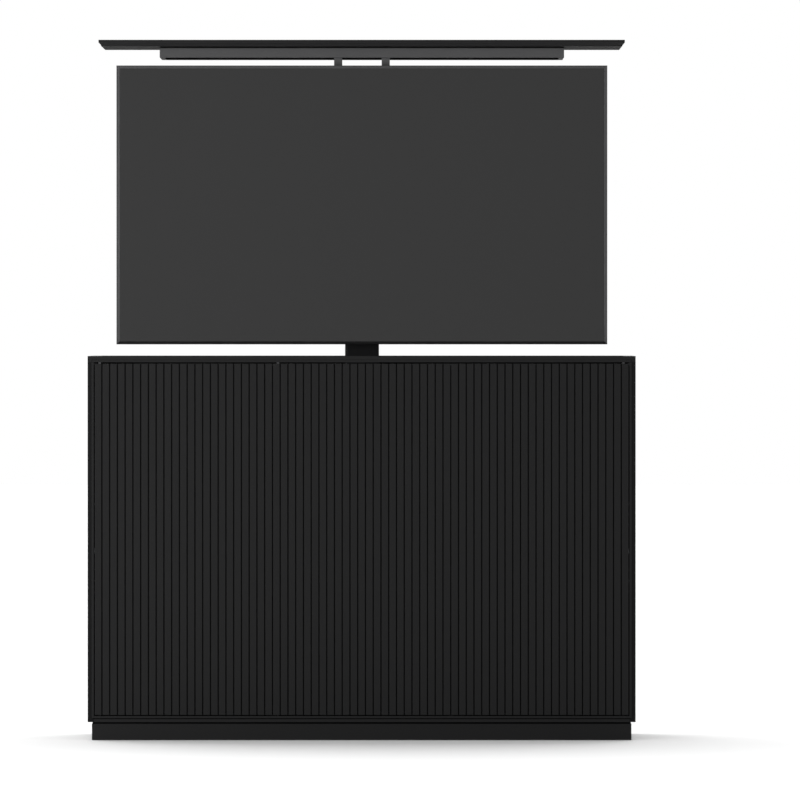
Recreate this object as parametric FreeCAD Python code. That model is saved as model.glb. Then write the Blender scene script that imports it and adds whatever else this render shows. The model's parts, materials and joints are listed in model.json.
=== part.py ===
import FreeCAD, Part
import math
import os

from FreeCAD import Vector

# A television lift cabinet, raised. All sizes are in millimetres.
# X runs to the right, the doors face -Y, Z is up, and the origin is the middle of the footprint.

# Cabinet
cabinet_width = 1600.0
cabinet_depth = 480.0
cabinet_height = 1122.0
board = 18.0
plinth_height = 53.0
plinth_inset = 12.0
front_step_width = 11.0
front_step_depth = 3.0
back_panel_thickness = 6.0
back_panel_inset = 8.0
partition_thickness = 12.0
partition_clearance = 10.0
bay_top_drop = 8.0
bay_front_setback = 32.0
shelf_height = 560.0
shelf_side_clearance = 1.0
support_size = 16.0
support_thickness = 2.0
support_edge_distance = 24.0

# Top frame and the lid that drops into it
rail_width = 29.0
lid_gap = 2.0
lid_lip = 8.0
lid_bevel = 7.0

# Reeded doors on pivot hinges
door_count = 3
door_thickness = 22.0
door_gap = 2.5
door_top_gap = 4.5
door_bottom_gap = 3.0
reeds_per_door = 23
groove_width = 3.0
groove_depth = 5.0
groove_chamfer = 0.6
pivot_edge_distance = 15.0
pivot_face_distance = 8.0
pivot_pin_radius = 4.0
pivot_pin_length = 12.0
pivot_collar_radius = 7.0

# Push latches behind the free edges of the doors
latch_width = 14.0
latch_height = 16.0
latch_length = 60.0
latch_edge_distance = 30.0
latch_stand_off = 5.7
latch_travel = 4.0
plunger_radius = 3.0
plunger_length = 30.0

# Television
tv_width = 1442.0
tv_height = 819.0
tv_front_y = -60.0
tv_bezel_width = 9.0
tv_bezel_depth = 14.0
tv_bezel_bevel = 6.0
tv_bezel_lip = 2.0
tv_screen_recess = 1.0
tv_screen_thickness = 6.0
tv_pan_depth = 12.0
tv_pan_taper = 10.0
tv_cover_depth = 34.0
tv_cover_width = 980.0
tv_cover_height = 620.0
tv_cover_taper = 34.0
tv_shell = 2.5
tv_boss_half = 10.0
tv_vent_count = 24
tv_vent_pitch = 24.0
tv_vent_width = 5.0
tv_vent_length = 60.0
tv_vent_edge = 12.0
tv_gap_below = 34.0
tv_gap_above = 23.0
vesa_pitch = 400.0

# Frame that carries the television and the lid
rail_channel_width = 32.0
rail_channel_depth = 16.0
rail_channel_wall = 3.0
rail_channel_overhang = 45.0
rail_slot_length = 40.0
crossbar_height = 40.0
crossbar_thickness = 6.0
crossbar_width = 560.0
crossbar_spacing = 200.0
bracket_width = 300.0
bracket_thickness = 4.0
bracket_flange = 6.0
bracket_gusset = 4.0
bracket_gusset_height = 60.0
bracket_side_clearance = 4.0
post_width = 24.0
post_depth = 14.0
post_wall = 2.0
post_spacing = 140.0
tray_width = 1188.0
tray_height = 30.0
tray_front_y = -55.0
tray_depth = 255.0
tray_sheet = 2.0
tray_lip = 14.0
bolt_radius = 4.0
bolt_head_radius = 7.0
bolt_head_height = 5.0
bolt_clearance = 0.5
bolt_depth_in_cover = 15.0

# Telescopic column, from the outside in
outer_size = (120.0, 84.0)
middle_size = (100.0, 66.0)
inner_size = (80.0, 48.0)
profile_corner = 7.0
outer_wall = 4.0
middle_wall = 3.5
inner_wall = 3.0
column_clearance = 2.0
profile_overlap = 139.0
collar_lip = 4.0
collar_depth = 40.0
collar_step = 8.0
slide_clearance = 0.3
glide_height = 40.0
glide_width_share = 0.6
foot_thickness = 14.0
foot_ground_clearance = 12.0

# Spindle drive
lower_spindle_radius = 8.0
upper_spindle_radius = 13.0
running_clearance = 0.08
keyway_width = 4.0
keyway_depth = 2.0
key_length = 30.0
spindle_flange_radius = 18.0
spindle_flange_height = 6.0
spindle_journal_depth = 25.0
spindle_end_clearance = 10.0
nut_wall = 6.0
nut_flange_height = 4.0
nut_flange_step = 1.5
nut_clearance = 3.0

# Drive and supply at the foot of the column
base_plate_thickness = 8.0
base_plate_margin = 34.0
base_bolt_inset = 14.0
base_plate_corner = 20.0
gearbox_height = 50.0
gearbox_corner = 14.0
motor_radius = 30.0
motor_height = 150.0
motor_neck_radius = 22.0
motor_neck_height = 10.0
motor_chamfer = 4.0
motor_clearance = 6.0
control_box_size = (200.0, 70.0, 45.0)
control_box_x = -360.0
control_box_back_gap = 26.0
control_box_round = 5.0
gland_radius = 9.0
gland_bore_radius = 4.0
gland_length = 16.0
gland_collar_radius = 12.0
gland_collar_length = 5.0

# Cable outlet in the back panel
outlet_x = -500.0
outlet_z = 300.0
outlet_bore_radius = 28.0
outlet_wall = 4.0
outlet_flange = 7.0
outlet_flange_thickness = 3.0
fixed_fit = 0.3

# Levels and faces worked out from the sizes above
half_width = cabinet_width / 2
half_depth = cabinet_depth / 2
front_y = -half_depth
carcass_bottom = plinth_height
deck_z = carcass_bottom + board
frame_bottom = cabinet_height - board
inner_half_width = half_width - board
lid_half_width = half_width - rail_width - lid_gap
lid_half_depth = half_depth - rail_width - lid_gap
back_panel_y = half_depth - back_panel_inset - back_panel_thickness

travel = tv_gap_below + tv_height + tv_gap_above + tray_height + board
stroke = travel / 2
tv_bottom = cabinet_height + tv_gap_below
tv_top = tv_bottom + tv_height
tv_middle = (tv_bottom + tv_top) / 2
tray_bottom = tv_top + tv_gap_above
tray_top = tray_bottom + tray_height
lid_bottom = tray_top

door_back_y = front_y + door_thickness
door_bottom = deck_z + door_bottom_gap
door_top = frame_bottom - door_top_gap
door_width = (2 * inner_half_width - (door_count + 1) * door_gap) / door_count
door_pitch = door_width + door_gap
reed_pitch = door_pitch / reeds_per_door
pivot_y = front_y + pivot_face_distance

bay_front_y = front_y + bay_front_setback
partition_back_y = tv_front_y - partition_clearance
partition_front_y = partition_back_y - partition_thickness
bay_top_z = frame_bottom - bay_top_drop
bay_ceiling = bay_top_z - board
divider_x = door_pitch / 2

pan_front_y = tv_front_y + tv_bezel_depth
cover_front_y = pan_front_y + tv_pan_depth
mount_face_y = cover_front_y + tv_cover_depth
crossbar_y = mount_face_y + rail_channel_depth
bracket_y = crossbar_y + crossbar_thickness
bracket_back_y = bracket_y + bracket_thickness
column_y = bracket_back_y + column_clearance + outer_size[1] / 2
post_y = crossbar_y - post_depth

control_box_y = back_panel_y - control_box_back_gap - control_box_size[1] / 2
gearbox_bottom = deck_z + base_plate_thickness
gearbox_top = gearbox_bottom + gearbox_height
motor_x = outer_size[0] / 2 + motor_clearance + motor_radius

# Heights of the column with the lift lowered. The moving stages are drawn raised by their travel.
outer_bottom = gearbox_top
middle_bottom = outer_bottom + foot_ground_clearance
outer_top = middle_bottom + stroke + profile_overlap
middle_top = outer_top + collar_lip + collar_step
middle_foot_top = middle_bottom + foot_thickness
spindle_flange_top = middle_foot_top + spindle_flange_height
inner_bottom = spindle_flange_top + nut_clearance + nut_flange_height
inner_top = middle_top + collar_lip + collar_step

bracket_top = inner_top + travel
crossbar_low_z = tv_middle - crossbar_spacing / 2
crossbar_high_z = tv_middle + crossbar_spacing / 2
bracket_bottom = crossbar_low_z - crossbar_height / 2


# General shapes

def box(x0, x1, y0, y1, z0, z1):
    return Part.makeBox(x1 - x0, y1 - y0, z1 - z0, Vector(x0, y0, z0))


def polygon(points):
    return Part.Face(Part.makePolygon(points + [points[0]]))


def prism_z(outline, z0, z1):
    """An outline of (x, y) points carried from z0 up to z1."""
    return polygon([Vector(x, y, z0) for x, y in outline]).extrude(Vector(0, 0, z1 - z0))


def prism_y(outline, y0, y1):
    """An outline of (x, z) points carried from y0 back to y1."""
    return polygon([Vector(x, y0, z) for x, z in outline]).extrude(Vector(0, y1 - y0, 0))


def prism_x(outline, x0, x1):
    """An outline of (y, z) points carried from x0 across to x1."""
    return polygon([Vector(x0, y, z) for y, z in outline]).extrude(Vector(x1 - x0, 0, 0))


def hexagon(radius, first, second):
    """Six corners round a point of the plane that a prism's outline lies in."""
    angles = [math.radians(60 * corner) for corner in range(6)]
    return [(first + radius * math.cos(angle), second + radius * math.sin(angle)) for angle in angles]


def square(half, first, second):
    return [(first - half, second - half), (first + half, second - half),
            (first + half, second + half), (first - half, second + half)]


def turned(outline, x, y):
    """An outline of (radius, z) points turned about the vertical line through x, y."""
    face = polygon([Vector(x + radius, y, z) for radius, z in outline])
    return face.revolve(Vector(x, y, 0), Vector(0, 0, 1), 360)


def rod(radius, x, y, z0, z1):
    return Part.makeCylinder(radius, z1 - z0, Vector(x, y, z0))


def rod_along_y(radius, x, y0, y1, z):
    return Part.makeCylinder(radius, y1 - y0, Vector(x, y0, z), Vector(0, 1, 0))


def rod_along_x(radius, x0, x1, y, z):
    return Part.makeCylinder(radius, x1 - x0, Vector(x0, y, z), Vector(1, 0, 0))


def rounded_block(width, depth, corner, x, y, z0, z1):
    """An upright block with rounded vertical edges, centred on x, y."""
    block = box(x - width / 2, x + width / 2, y - depth / 2, y + depth / 2, z0, z1)
    upright = [edge for edge in block.Edges if abs(edge.BoundBox.ZLength - (z1 - z0)) < 0.001]
    return block.makeFillet(corner, upright)


def rectangle_at_z(half_x, half_y, z):
    corners = [(-half_x, -half_y), (half_x, -half_y), (half_x, half_y), (-half_x, half_y)]
    points = [Vector(x, y, z) for x, y in corners]
    return Part.makePolygon(points + [points[0]])


def rectangle_at_y(half_x, half_z, y, z):
    corners = [(-half_x, -half_z), (half_x, -half_z), (half_x, half_z), (-half_x, half_z)]
    points = [Vector(x, y, z + height) for x, height in corners]
    return Part.makePolygon(points + [points[0]])


def pair(shape):
    """The piece and its mirror image across the cabinet's middle."""
    return Part.makeCompound([shape, shape.mirror(Vector(0, 0, 0), Vector(1, 0, 0))])


def raised(shape, height):
    moved = shape.copy()
    moved.translate(Vector(0, 0, height))
    return moved


# Carcass

def front_step():
    """The strip along the outside of the carcass's front edge that is set back."""
    back = front_y + front_step_depth
    outer = box(-half_width, half_width, front_y, back, carcass_bottom, cabinet_height)
    inner = box(-half_width + front_step_width, half_width - front_step_width, front_y, back,
                carcass_bottom + front_step_width, cabinet_height - front_step_width)
    return outer.cut(inner)


def side_board(side):
    x0, x1 = sorted([side * inner_half_width, side * half_width])
    return box(x0, x1, front_y, half_depth, carcass_bottom, frame_bottom).cut(front_step())


def base_bolt_places():
    x = outer_size[0] / 2 + base_plate_margin - base_bolt_inset
    y = outer_size[1] / 2 + base_bolt_inset
    return [(-x, column_y - y), (-x, column_y + y), (x + motor_x, column_y - y), (x + motor_x, column_y + y)]


def bottom_board():
    panel = box(-inner_half_width, inner_half_width, front_y, half_depth, carcass_bottom, deck_z)
    return panel.cut(front_step())


def lid_shape(grow, bottom):
    """The lid's outline: an upright lip, a bevel under it and a short land at the bottom."""
    lip_z = bottom + board - lid_lip
    wide_x = lid_half_width + grow
    wide_y = lid_half_depth + grow
    sections = [
        rectangle_at_z(wide_x - lid_bevel, wide_y - lid_bevel, bottom),
        rectangle_at_z(wide_x - lid_bevel, wide_y - lid_bevel, lip_z - lid_bevel),
        rectangle_at_z(wide_x, wide_y, lip_z),
        rectangle_at_z(wide_x, wide_y, bottom + board),
    ]
    return Part.makeLoft(sections, True, True)


def top_frame_rails():
    """Four rails, mitred at the corners, whose inner edges follow the lid's bevel."""
    slab = box(-half_width, half_width, front_y, half_depth, frame_bottom, cabinet_height)
    frame = slab.cut(lid_shape(lid_gap, frame_bottom)).cut(front_step())
    ridge = half_width - half_depth
    quarters = {
        "front_rail": [(-half_width, front_y), (half_width, front_y), (ridge, 0), (-ridge, 0)],
        "back_rail": [(-half_width, half_depth), (-ridge, 0), (ridge, 0), (half_width, half_depth)],
        "left_rail": [(-half_width, front_y), (-ridge, 0), (-half_width, half_depth)],
        "right_rail": [(half_width, front_y), (half_width, half_depth), (ridge, 0)],
    }
    return {name: frame.common(prism_z(outline, frame_bottom, cabinet_height))
            for name, outline in quarters.items()}


def plinth_boards():
    """Four mitred boards under the carcass."""
    x = half_width - plinth_inset
    y = half_depth - plinth_inset
    inner_x = x - board
    inner_y = y - board
    outlines = {
        "plinth_front": [(-x, -y), (x, -y), (inner_x, -inner_y), (-inner_x, -inner_y)],
        "plinth_back": [(x, y), (-x, y), (-inner_x, inner_y), (inner_x, inner_y)],
        "plinth_left": [(-x, -y), (-inner_x, -inner_y), (-inner_x, inner_y), (-x, y)],
        "plinth_right": [(x, -y), (x, y), (inner_x, inner_y), (inner_x, -inner_y)],
    }
    return {name: prism_z(outline, 0, plinth_height) for name, outline in outlines.items()}


def back_panel():
    panel = box(-inner_half_width, inner_half_width, back_panel_y, back_panel_y + back_panel_thickness,
                deck_z, frame_bottom)
    cutout = square(outlet_bore_radius + outlet_wall + fixed_fit, outlet_x, outlet_z)
    return panel.cut(prism_y(cutout, back_panel_y, back_panel_y + back_panel_thickness))


def cable_outlet():
    """A square liner with a round bore, flanged on the outside, in the cut-out of the back panel."""
    liner_half = outlet_bore_radius + outlet_wall
    behind = back_panel_y + back_panel_thickness
    outside = behind + outlet_flange_thickness
    liner = prism_y(square(liner_half, outlet_x, outlet_z), back_panel_y, behind)
    flange = prism_y(square(liner_half + outlet_flange, outlet_x, outlet_z), behind, outside)
    bore = rod_along_y(outlet_bore_radius, outlet_x, back_panel_y, outside, outlet_z)
    return liner.fuse(flange).cut(bore).removeSplitter()


def partition():
    return box(-inner_half_width, inner_half_width, partition_front_y, partition_back_y, deck_z, bay_top_z)


def bay_top():
    return box(-inner_half_width, inner_half_width, bay_front_y, partition_front_y, bay_ceiling, bay_top_z)


def divider(side):
    x = side * divider_x
    return box(x - board / 2, x + board / 2, bay_front_y, partition_front_y, deck_z, bay_ceiling)


def bay_walls():
    """Left and right inner faces of the three bays behind the doors."""
    edge = divider_x - board / 2
    outside = divider_x + board / 2
    return {
        "left": (-inner_half_width, -outside),
        "centre": (-edge, edge),
        "right": (outside, inner_half_width),
    }


def shelf(bay):
    x0, x1 = bay_walls()[bay]
    return box(x0 + shelf_side_clearance, x1 - shelf_side_clearance, bay_front_y, partition_front_y,
               shelf_height, shelf_height + board)


def shelf_supports():
    """Small angle pieces, two on each side of each bay, that the shelves lie on."""
    supports = []
    for x0, x1 in bay_walls().values():
        for wall, inward in ((x0, 1), (x1, -1)):
            for y in (bay_front_y + support_edge_distance, partition_front_y - support_edge_distance):
                outline = [
                    (wall, shelf_height),
                    (wall, shelf_height - support_size),
                    (wall + inward * support_thickness, shelf_height - support_size),
                    (wall + inward * support_thickness, shelf_height - support_thickness),
                    (wall + inward * support_size, shelf_height - support_thickness),
                    (wall + inward * support_size, shelf_height),
                ]
                supports.append(prism_y(outline, y - support_size / 2, y + support_size / 2))
    return Part.makeCompound(supports)


# Doors

def door_left_edges():
    return [-inner_half_width + door_gap + index * door_pitch for index in range(door_count)]


def pivot_places():
    """Where each door turns: the left and centre doors on their left, the right door on its right."""
    left, centre, right = door_left_edges()
    return {
        "left": left + pivot_edge_distance,
        "centre": centre + pivot_edge_distance,
        "right": right + door_width - pivot_edge_distance,
    }


def reeded_front(left_edge):
    """The door's front outline from right to left, with a square groove between reeds."""
    points = [(left_edge + door_width, front_y + groove_chamfer),
              (left_edge + door_width - groove_chamfer, front_y)]
    half_groove = groove_width / 2
    for index in range(reeds_per_door - 1, 0, -1):
        x = left_edge - door_gap / 2 + index * reed_pitch
        points += [
            (x + half_groove + groove_chamfer, front_y),
            (x + half_groove, front_y + groove_chamfer),
            (x + half_groove, front_y + groove_depth),
            (x - half_groove, front_y + groove_depth),
            (x - half_groove, front_y + groove_chamfer),
            (x - half_groove - groove_chamfer, front_y),
        ]
    points += [(left_edge + groove_chamfer, front_y), (left_edge, front_y + groove_chamfer)]
    return points


def door(left_edge, pivot_x):
    back = [(left_edge, door_back_y), (left_edge + door_width, door_back_y)]
    panel = prism_z(back + reeded_front(left_edge), door_bottom, door_top)
    hole_radius = pivot_pin_radius + running_clearance
    hole_depth = pivot_pin_length + slide_clearance
    panel = panel.cut(rod(hole_radius, pivot_x, pivot_y, door_bottom, door_bottom + hole_depth))
    return panel.cut(rod(hole_radius, pivot_x, pivot_y, door_top - hole_depth, door_top))


def pivot(pivot_x, board_face, upward, gap):
    """A hexagonal collar that keeps the door off the carcass, with a pin that enters the door."""
    collar_z = sorted([board_face, board_face + upward * (gap - slide_clearance)])
    pin_z = sorted([board_face, board_face + upward * (gap + pivot_pin_length - slide_clearance)])
    collar_block = prism_z(hexagon(pivot_collar_radius, pivot_x, pivot_y), collar_z[0], collar_z[1])
    return collar_block.fuse(rod(pivot_pin_radius, pivot_x, pivot_y, pin_z[0], pin_z[1])).removeSplitter()


def door_pivots():
    pivots = []
    for x in pivot_places().values():
        pivots.append(pivot(x, deck_z, 1, door_bottom_gap))
        pivots.append(pivot(x, frame_bottom, -1, door_top_gap))
    return Part.makeCompound(pivots)


def latch_places():
    walls = bay_walls()
    return {
        "left": walls["left"][1] - latch_edge_distance,
        "centre": walls["centre"][1] - latch_edge_distance,
        "right": walls["right"][0] + latch_edge_distance,
    }


def latch_axis_z():
    return bay_ceiling - latch_height / 2


def latch_body(x):
    """A housing with a rounded underside, fixed under the bay's top, with a bore for its plunger."""
    half = latch_width / 2
    top = bay_ceiling
    bottom = bay_ceiling - latch_height
    front = door_back_y + slide_clearance + latch_stand_off
    back = front + latch_length
    left_top = Vector(x - half, front, top)
    right_top = Vector(x + half, front, top)
    right_low = Vector(x + half, front, bottom + half)
    left_low = Vector(x - half, front, bottom + half)
    edges = [
        Part.LineSegment(left_top, right_top).toShape(),
        Part.LineSegment(right_top, right_low).toShape(),
        Part.Arc(right_low, Vector(x, front, bottom), left_low).toShape(),
        Part.LineSegment(left_low, left_top).toShape(),
    ]
    housing = Part.Face(Part.Wire(edges)).extrude(Vector(0, back - front, 0))
    bore_end = front - latch_stand_off + plunger_length + latch_travel + slide_clearance
    bore = rod_along_y(plunger_radius + running_clearance, x, front, bore_end, latch_axis_z())
    return housing.cut(bore)


def latch_plunger(x):
    """A pin whose tip stands just behind the closed door."""
    tip = door_back_y + slide_clearance
    return rod_along_y(plunger_radius, x, tip, tip + plunger_length, latch_axis_z())


# Telescopic column

def profile_tube(size, wall, z0, z1):
    outside = rounded_block(size[0], size[1], profile_corner, 0, column_y, z0, z1)
    inside = rounded_block(size[0] - 2 * wall, size[1] - 2 * wall, profile_corner - wall / 2,
                           0, column_y, z0, z1)
    return outside.cut(inside)


def collar(size, wall, passing_size, top):
    """A plastic collar in the mouth of one profile that guides the next one."""
    inside = rounded_block(passing_size[0] + 2 * slide_clearance, passing_size[1] + 2 * slide_clearance,
                           profile_corner, 0, column_y, top - collar_depth, top + collar_lip)
    lip = rounded_block(size[0], size[1], profile_corner, 0, column_y, top, top + collar_lip)
    sleeve = rounded_block(size[0] - 2 * wall, size[1] - 2 * wall, profile_corner - wall / 2, 0, column_y,
                           top - collar_depth, top)
    return lip.fuse(sleeve).cut(inside).removeSplitter()


def glides(size, around_size, around_wall, z0):
    """Four pads at the foot of a stage that slide inside the profile around it."""
    reach_x = around_size[0] / 2 - around_wall - slide_clearance
    reach_y = around_size[1] / 2 - around_wall - slide_clearance
    half_x = size[0] / 2
    half_y = size[1] / 2
    pad_x = half_x * glide_width_share
    pad_y = half_y * glide_width_share
    z1 = z0 + glide_height
    return Part.makeCompound([
        box(-reach_x, -half_x, column_y - pad_y, column_y + pad_y, z0, z1),
        box(half_x, reach_x, column_y - pad_y, column_y + pad_y, z0, z1),
        box(-pad_x, pad_x, column_y - reach_y, column_y - half_y, z0, z1),
        box(-pad_x, pad_x, column_y + half_y, column_y + reach_y, z0, z1),
    ])


def foot_plate(size, wall, spindle_radius, z0):
    """The plate across a profile's lower end, with a square window for its spindle nut."""
    plate = rounded_block(size[0] - 2 * wall, size[1] - 2 * wall, profile_corner - wall / 2, 0, column_y,
                          z0, z0 + foot_thickness)
    window = square(spindle_radius + nut_wall + fixed_fit, 0, column_y)
    return plate.cut(prism_z(window, z0, z0 + foot_thickness))


def spindle_nut(spindle_radius, z0):
    """A square bronze nut block, pushed up into the foot plate from below until its flange seats."""
    half = spindle_radius + nut_wall
    flange_bottom = z0 - nut_flange_height
    block = prism_z(square(half, 0, column_y), z0, z0 + foot_thickness)
    flange = prism_z(square(half + nut_flange_step, 0, column_y), flange_bottom, z0)
    bore = rod(spindle_radius + running_clearance, 0, column_y, flange_bottom, z0 + foot_thickness)
    return block.fuse(flange).cut(bore).removeSplitter()


def lower_spindle():
    """The driven spindle, with a keyway along the length that the upper spindle slides on."""
    bottom = gearbox_top - spindle_journal_depth
    top = outer_top - spindle_end_clearance
    spindle = rod(lower_spindle_radius, 0, column_y, bottom, top)
    keyway = box(-keyway_width / 2, keyway_width / 2, column_y - lower_spindle_radius,
                 column_y - lower_spindle_radius + keyway_depth, gearbox_top, top)
    return spindle.cut(keyway)


def upper_spindle():
    """A hollow spindle that turns on the middle stage's foot, keyed to the lower spindle inside it."""
    bottom = middle_foot_top + slide_clearance
    top = middle_top - spindle_end_clearance
    bore = lower_spindle_radius + running_clearance
    outline = [
        (bore, bottom),
        (spindle_flange_radius, bottom),
        (spindle_flange_radius, spindle_flange_top),
        (upper_spindle_radius, spindle_flange_top),
        (upper_spindle_radius, top),
        (bore, top),
    ]
    tube = turned(outline, 0, column_y)
    half_key = keyway_width / 2 - running_clearance
    key_tip = column_y - lower_spindle_radius + keyway_depth - running_clearance
    key = box(-half_key, half_key, column_y - upper_spindle_radius, key_tip, bottom, bottom + key_length)
    tube_round = rod(upper_spindle_radius, 0, column_y, bottom, bottom + key_length)
    return tube.fuse(key.common(tube_round)).removeSplitter()


# Drive and supply

def gearbox():
    """A closed housing under the column that reaches out sideways to carry the motor."""
    x0 = -outer_size[0] / 2
    x1 = motor_x + motor_radius + motor_clearance / 2
    housing = rounded_block(x1 - x0, outer_size[1], gearbox_corner, (x0 + x1) / 2, column_y,
                            gearbox_bottom, gearbox_top)
    journal = rod(lower_spindle_radius + running_clearance, 0, column_y,
                  gearbox_top - spindle_journal_depth - slide_clearance, gearbox_top)
    return housing.cut(journal)


def base_plate():
    x0 = -outer_size[0] / 2 - base_plate_margin
    x1 = outer_size[0] / 2 + base_plate_margin + motor_x
    y0 = column_y - outer_size[1] / 2 - 2 * base_bolt_inset
    y1 = column_y + outer_size[1] / 2 + 2 * base_bolt_inset
    corner = base_plate_corner
    outline = [(x0 + corner, y0), (x1 - corner, y0), (x1, y0 + corner), (x1, y1 - corner),
               (x1 - corner, y1), (x0 + corner, y1), (x0, y1 - corner), (x0, y0 + corner)]
    plate = prism_z(outline, deck_z, gearbox_bottom)
    for x, y in base_bolt_places():
        plate = plate.cut(prism_z(hexagon(bolt_radius + bolt_clearance, x, y), deck_z, gearbox_bottom))
    return plate


def base_bolts():
    """Hexagon heads on the base plate. Shanks and the holes they pass are drawn six-sided as well."""
    bolts = []
    for x, y in base_bolt_places():
        head = prism_z(hexagon(bolt_head_radius, x, y), gearbox_bottom, gearbox_bottom + bolt_head_height)
        shank = prism_z(hexagon(bolt_radius, x, y), deck_z, gearbox_bottom)
        bolts.append(head.fuse(shank).removeSplitter())
    return Part.makeCompound(bolts)


def drive_motor():
    """A round motor standing on the gearbox beside the column."""
    neck_top = gearbox_top + motor_neck_height
    top = gearbox_top + motor_height
    outline = [
        (0, gearbox_top),
        (motor_neck_radius, gearbox_top),
        (motor_neck_radius, neck_top),
        (motor_radius, neck_top),
        (motor_radius, top - motor_chamfer),
        (motor_radius - motor_chamfer, top),
        (0, top),
    ]
    return turned(outline, motor_x, column_y)


def control_box():
    width, depth, height = control_box_size
    top = deck_z + height
    block = rounded_block(width, depth, control_box_round, control_box_x, control_box_y, deck_z, top)
    top_edges = [edge for edge in block.Edges
                 if edge.BoundBox.ZLength < 0.001 and edge.BoundBox.ZMin > top - 0.001]
    return block.makeChamfer(control_box_round / 2, top_edges)


def supply_gland():
    """The hexagonal gland on the control box's end that the supply lead would enter."""
    box_end = control_box_x - control_box_size[0] / 2
    tip = box_end - gland_length
    collar_tip = box_end - gland_collar_length
    z = deck_z + control_box_size[2] / 2
    collar_block = prism_x(hexagon(gland_collar_radius, control_box_y, z), collar_tip, box_end)
    body = prism_x(hexagon(gland_radius, control_box_y, z), tip, collar_tip)
    bore = rod_along_x(gland_bore_radius, tip, box_end, control_box_y, z)
    return collar_block.fuse(body).cut(bore).removeSplitter()


# Television

def tv_bezel():
    """A thin frame whose front slopes back towards its outer edge."""
    half_x = tv_width / 2
    half_z = tv_height / 2
    outer = Part.makeLoft([
        rectangle_at_y(half_x - tv_bezel_width + tv_bezel_lip, half_z - tv_bezel_width + tv_bezel_lip,
                       tv_front_y, tv_middle),
        rectangle_at_y(half_x, half_z, tv_front_y + tv_bezel_bevel, tv_middle),
        rectangle_at_y(half_x, half_z, pan_front_y, tv_middle),
    ], True, True)
    hole_x = half_x - tv_bezel_width
    hole_z = half_z - tv_bezel_width
    hole = box(-hole_x, hole_x, tv_front_y, pan_front_y, tv_middle - hole_z, tv_middle + hole_z)
    return outer.cut(hole)


def tv_screen():
    half_x = tv_width / 2 - tv_bezel_width - slide_clearance
    half_z = tv_height / 2 - tv_bezel_width - slide_clearance
    front = tv_front_y + tv_screen_recess
    panel = box(-half_x, half_x, front, front + tv_screen_thickness, tv_middle - half_z, tv_middle + half_z)
    backing_x = half_x - tv_bezel_width
    backing_z = half_z - tv_bezel_width
    backing = box(-backing_x, backing_x, front + tv_screen_thickness, pan_front_y,
                  tv_middle - backing_z, tv_middle + backing_z)
    return panel.fuse(backing)


def tv_bolt_places():
    half = vesa_pitch / 2
    return [(x, tv_middle + z) for x in (-half, half) for z in (-half, half)]


def tapered_shell(half_x, half_z, taper, front, back):
    """A shallow dish, open towards the front, whose four sides draw in towards its back."""
    outside = Part.makeLoft([
        rectangle_at_y(half_x, half_z, front, tv_middle),
        rectangle_at_y(half_x - taper, half_z - taper, back, tv_middle),
    ], True, True)
    inside = Part.makeLoft([
        rectangle_at_y(half_x - tv_shell, half_z - tv_shell, front, tv_middle),
        rectangle_at_y(half_x - taper - tv_shell, half_z - taper - tv_shell, back - tv_shell, tv_middle),
    ], True, True)
    return outside.cut(inside)


def tv_pan():
    """The flat rear shell of the television, drawn in towards the back."""
    return tapered_shell(tv_width / 2, tv_height / 2, tv_pan_taper, pan_front_y, cover_front_y)


def tv_rear_cover():
    """The raised cover over the electronics, with a row of vents and four bosses for its mounting."""
    half_z = tv_cover_height / 2
    cover = tapered_shell(tv_cover_width / 2, half_z, tv_cover_taper, cover_front_y, mount_face_y)
    cover = cover.fuse([prism_y(square(tv_boss_half, x, z), cover_front_y, mount_face_y)
                        for x, z in tv_bolt_places()]).removeSplitter()
    vent_top = tv_middle + half_z - tv_cover_taper - tv_vent_edge
    first_x = -tv_vent_pitch * (tv_vent_count - 1) / 2
    vents = []
    for index in range(tv_vent_count):
        x = first_x + index * tv_vent_pitch
        near_rail = abs(abs(x) - vesa_pitch / 2) < rail_channel_width
        near_post = abs(abs(x) - post_spacing / 2) < post_width
        if near_rail or near_post:
            continue
        vents.append(box(x - tv_vent_width / 2, x + tv_vent_width / 2, mount_face_y - tv_shell, mount_face_y,
                         vent_top - tv_vent_length, vent_top))
    hole_front = mount_face_y - bolt_depth_in_cover - bolt_clearance
    holes = [prism_y(hexagon(bolt_radius + fixed_fit, x, z), hole_front, mount_face_y)
             for x, z in tv_bolt_places()]
    return cover.cut(vents + holes)


# Frame that carries the television and the lid

def tv_rails():
    """Two upright channels bolted to the back of the television."""
    rails = []
    z0 = tv_middle - vesa_pitch / 2 - rail_channel_overhang
    z1 = tv_middle + vesa_pitch / 2 + rail_channel_overhang
    half = rail_channel_width / 2
    for side in (-1, 1):
        x = side * vesa_pitch / 2
        back = mount_face_y + rail_channel_depth
        web_back = mount_face_y + rail_channel_wall
        outline = [
            (x - half, mount_face_y), (x + half, mount_face_y), (x + half, back),
            (x + half - rail_channel_wall, back), (x + half - rail_channel_wall, web_back),
            (x - half + rail_channel_wall, web_back), (x - half + rail_channel_wall, back), (x - half, back),
        ]
        rail = prism_z(outline, z0, z1)
        slot_half = bolt_radius + bolt_clearance
        for z in (tv_middle - vesa_pitch / 2, tv_middle + vesa_pitch / 2):
            rail = rail.cut(box(x - slot_half, x + slot_half, mount_face_y, web_back,
                                z - rail_slot_length / 2, z + rail_slot_length / 2))
        rails.append(rail)
    return Part.makeCompound(rails)


def tv_bolts():
    bolts = []
    seat = mount_face_y + rail_channel_wall
    for x, z in tv_bolt_places():
        head = prism_y(hexagon(bolt_head_radius, x, z), seat, seat + bolt_head_height)
        shank = prism_y(hexagon(bolt_radius, x, z), mount_face_y - bolt_depth_in_cover, seat)
        bolts.append(head.fuse(shank).removeSplitter())
    return Part.makeCompound(bolts)


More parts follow.
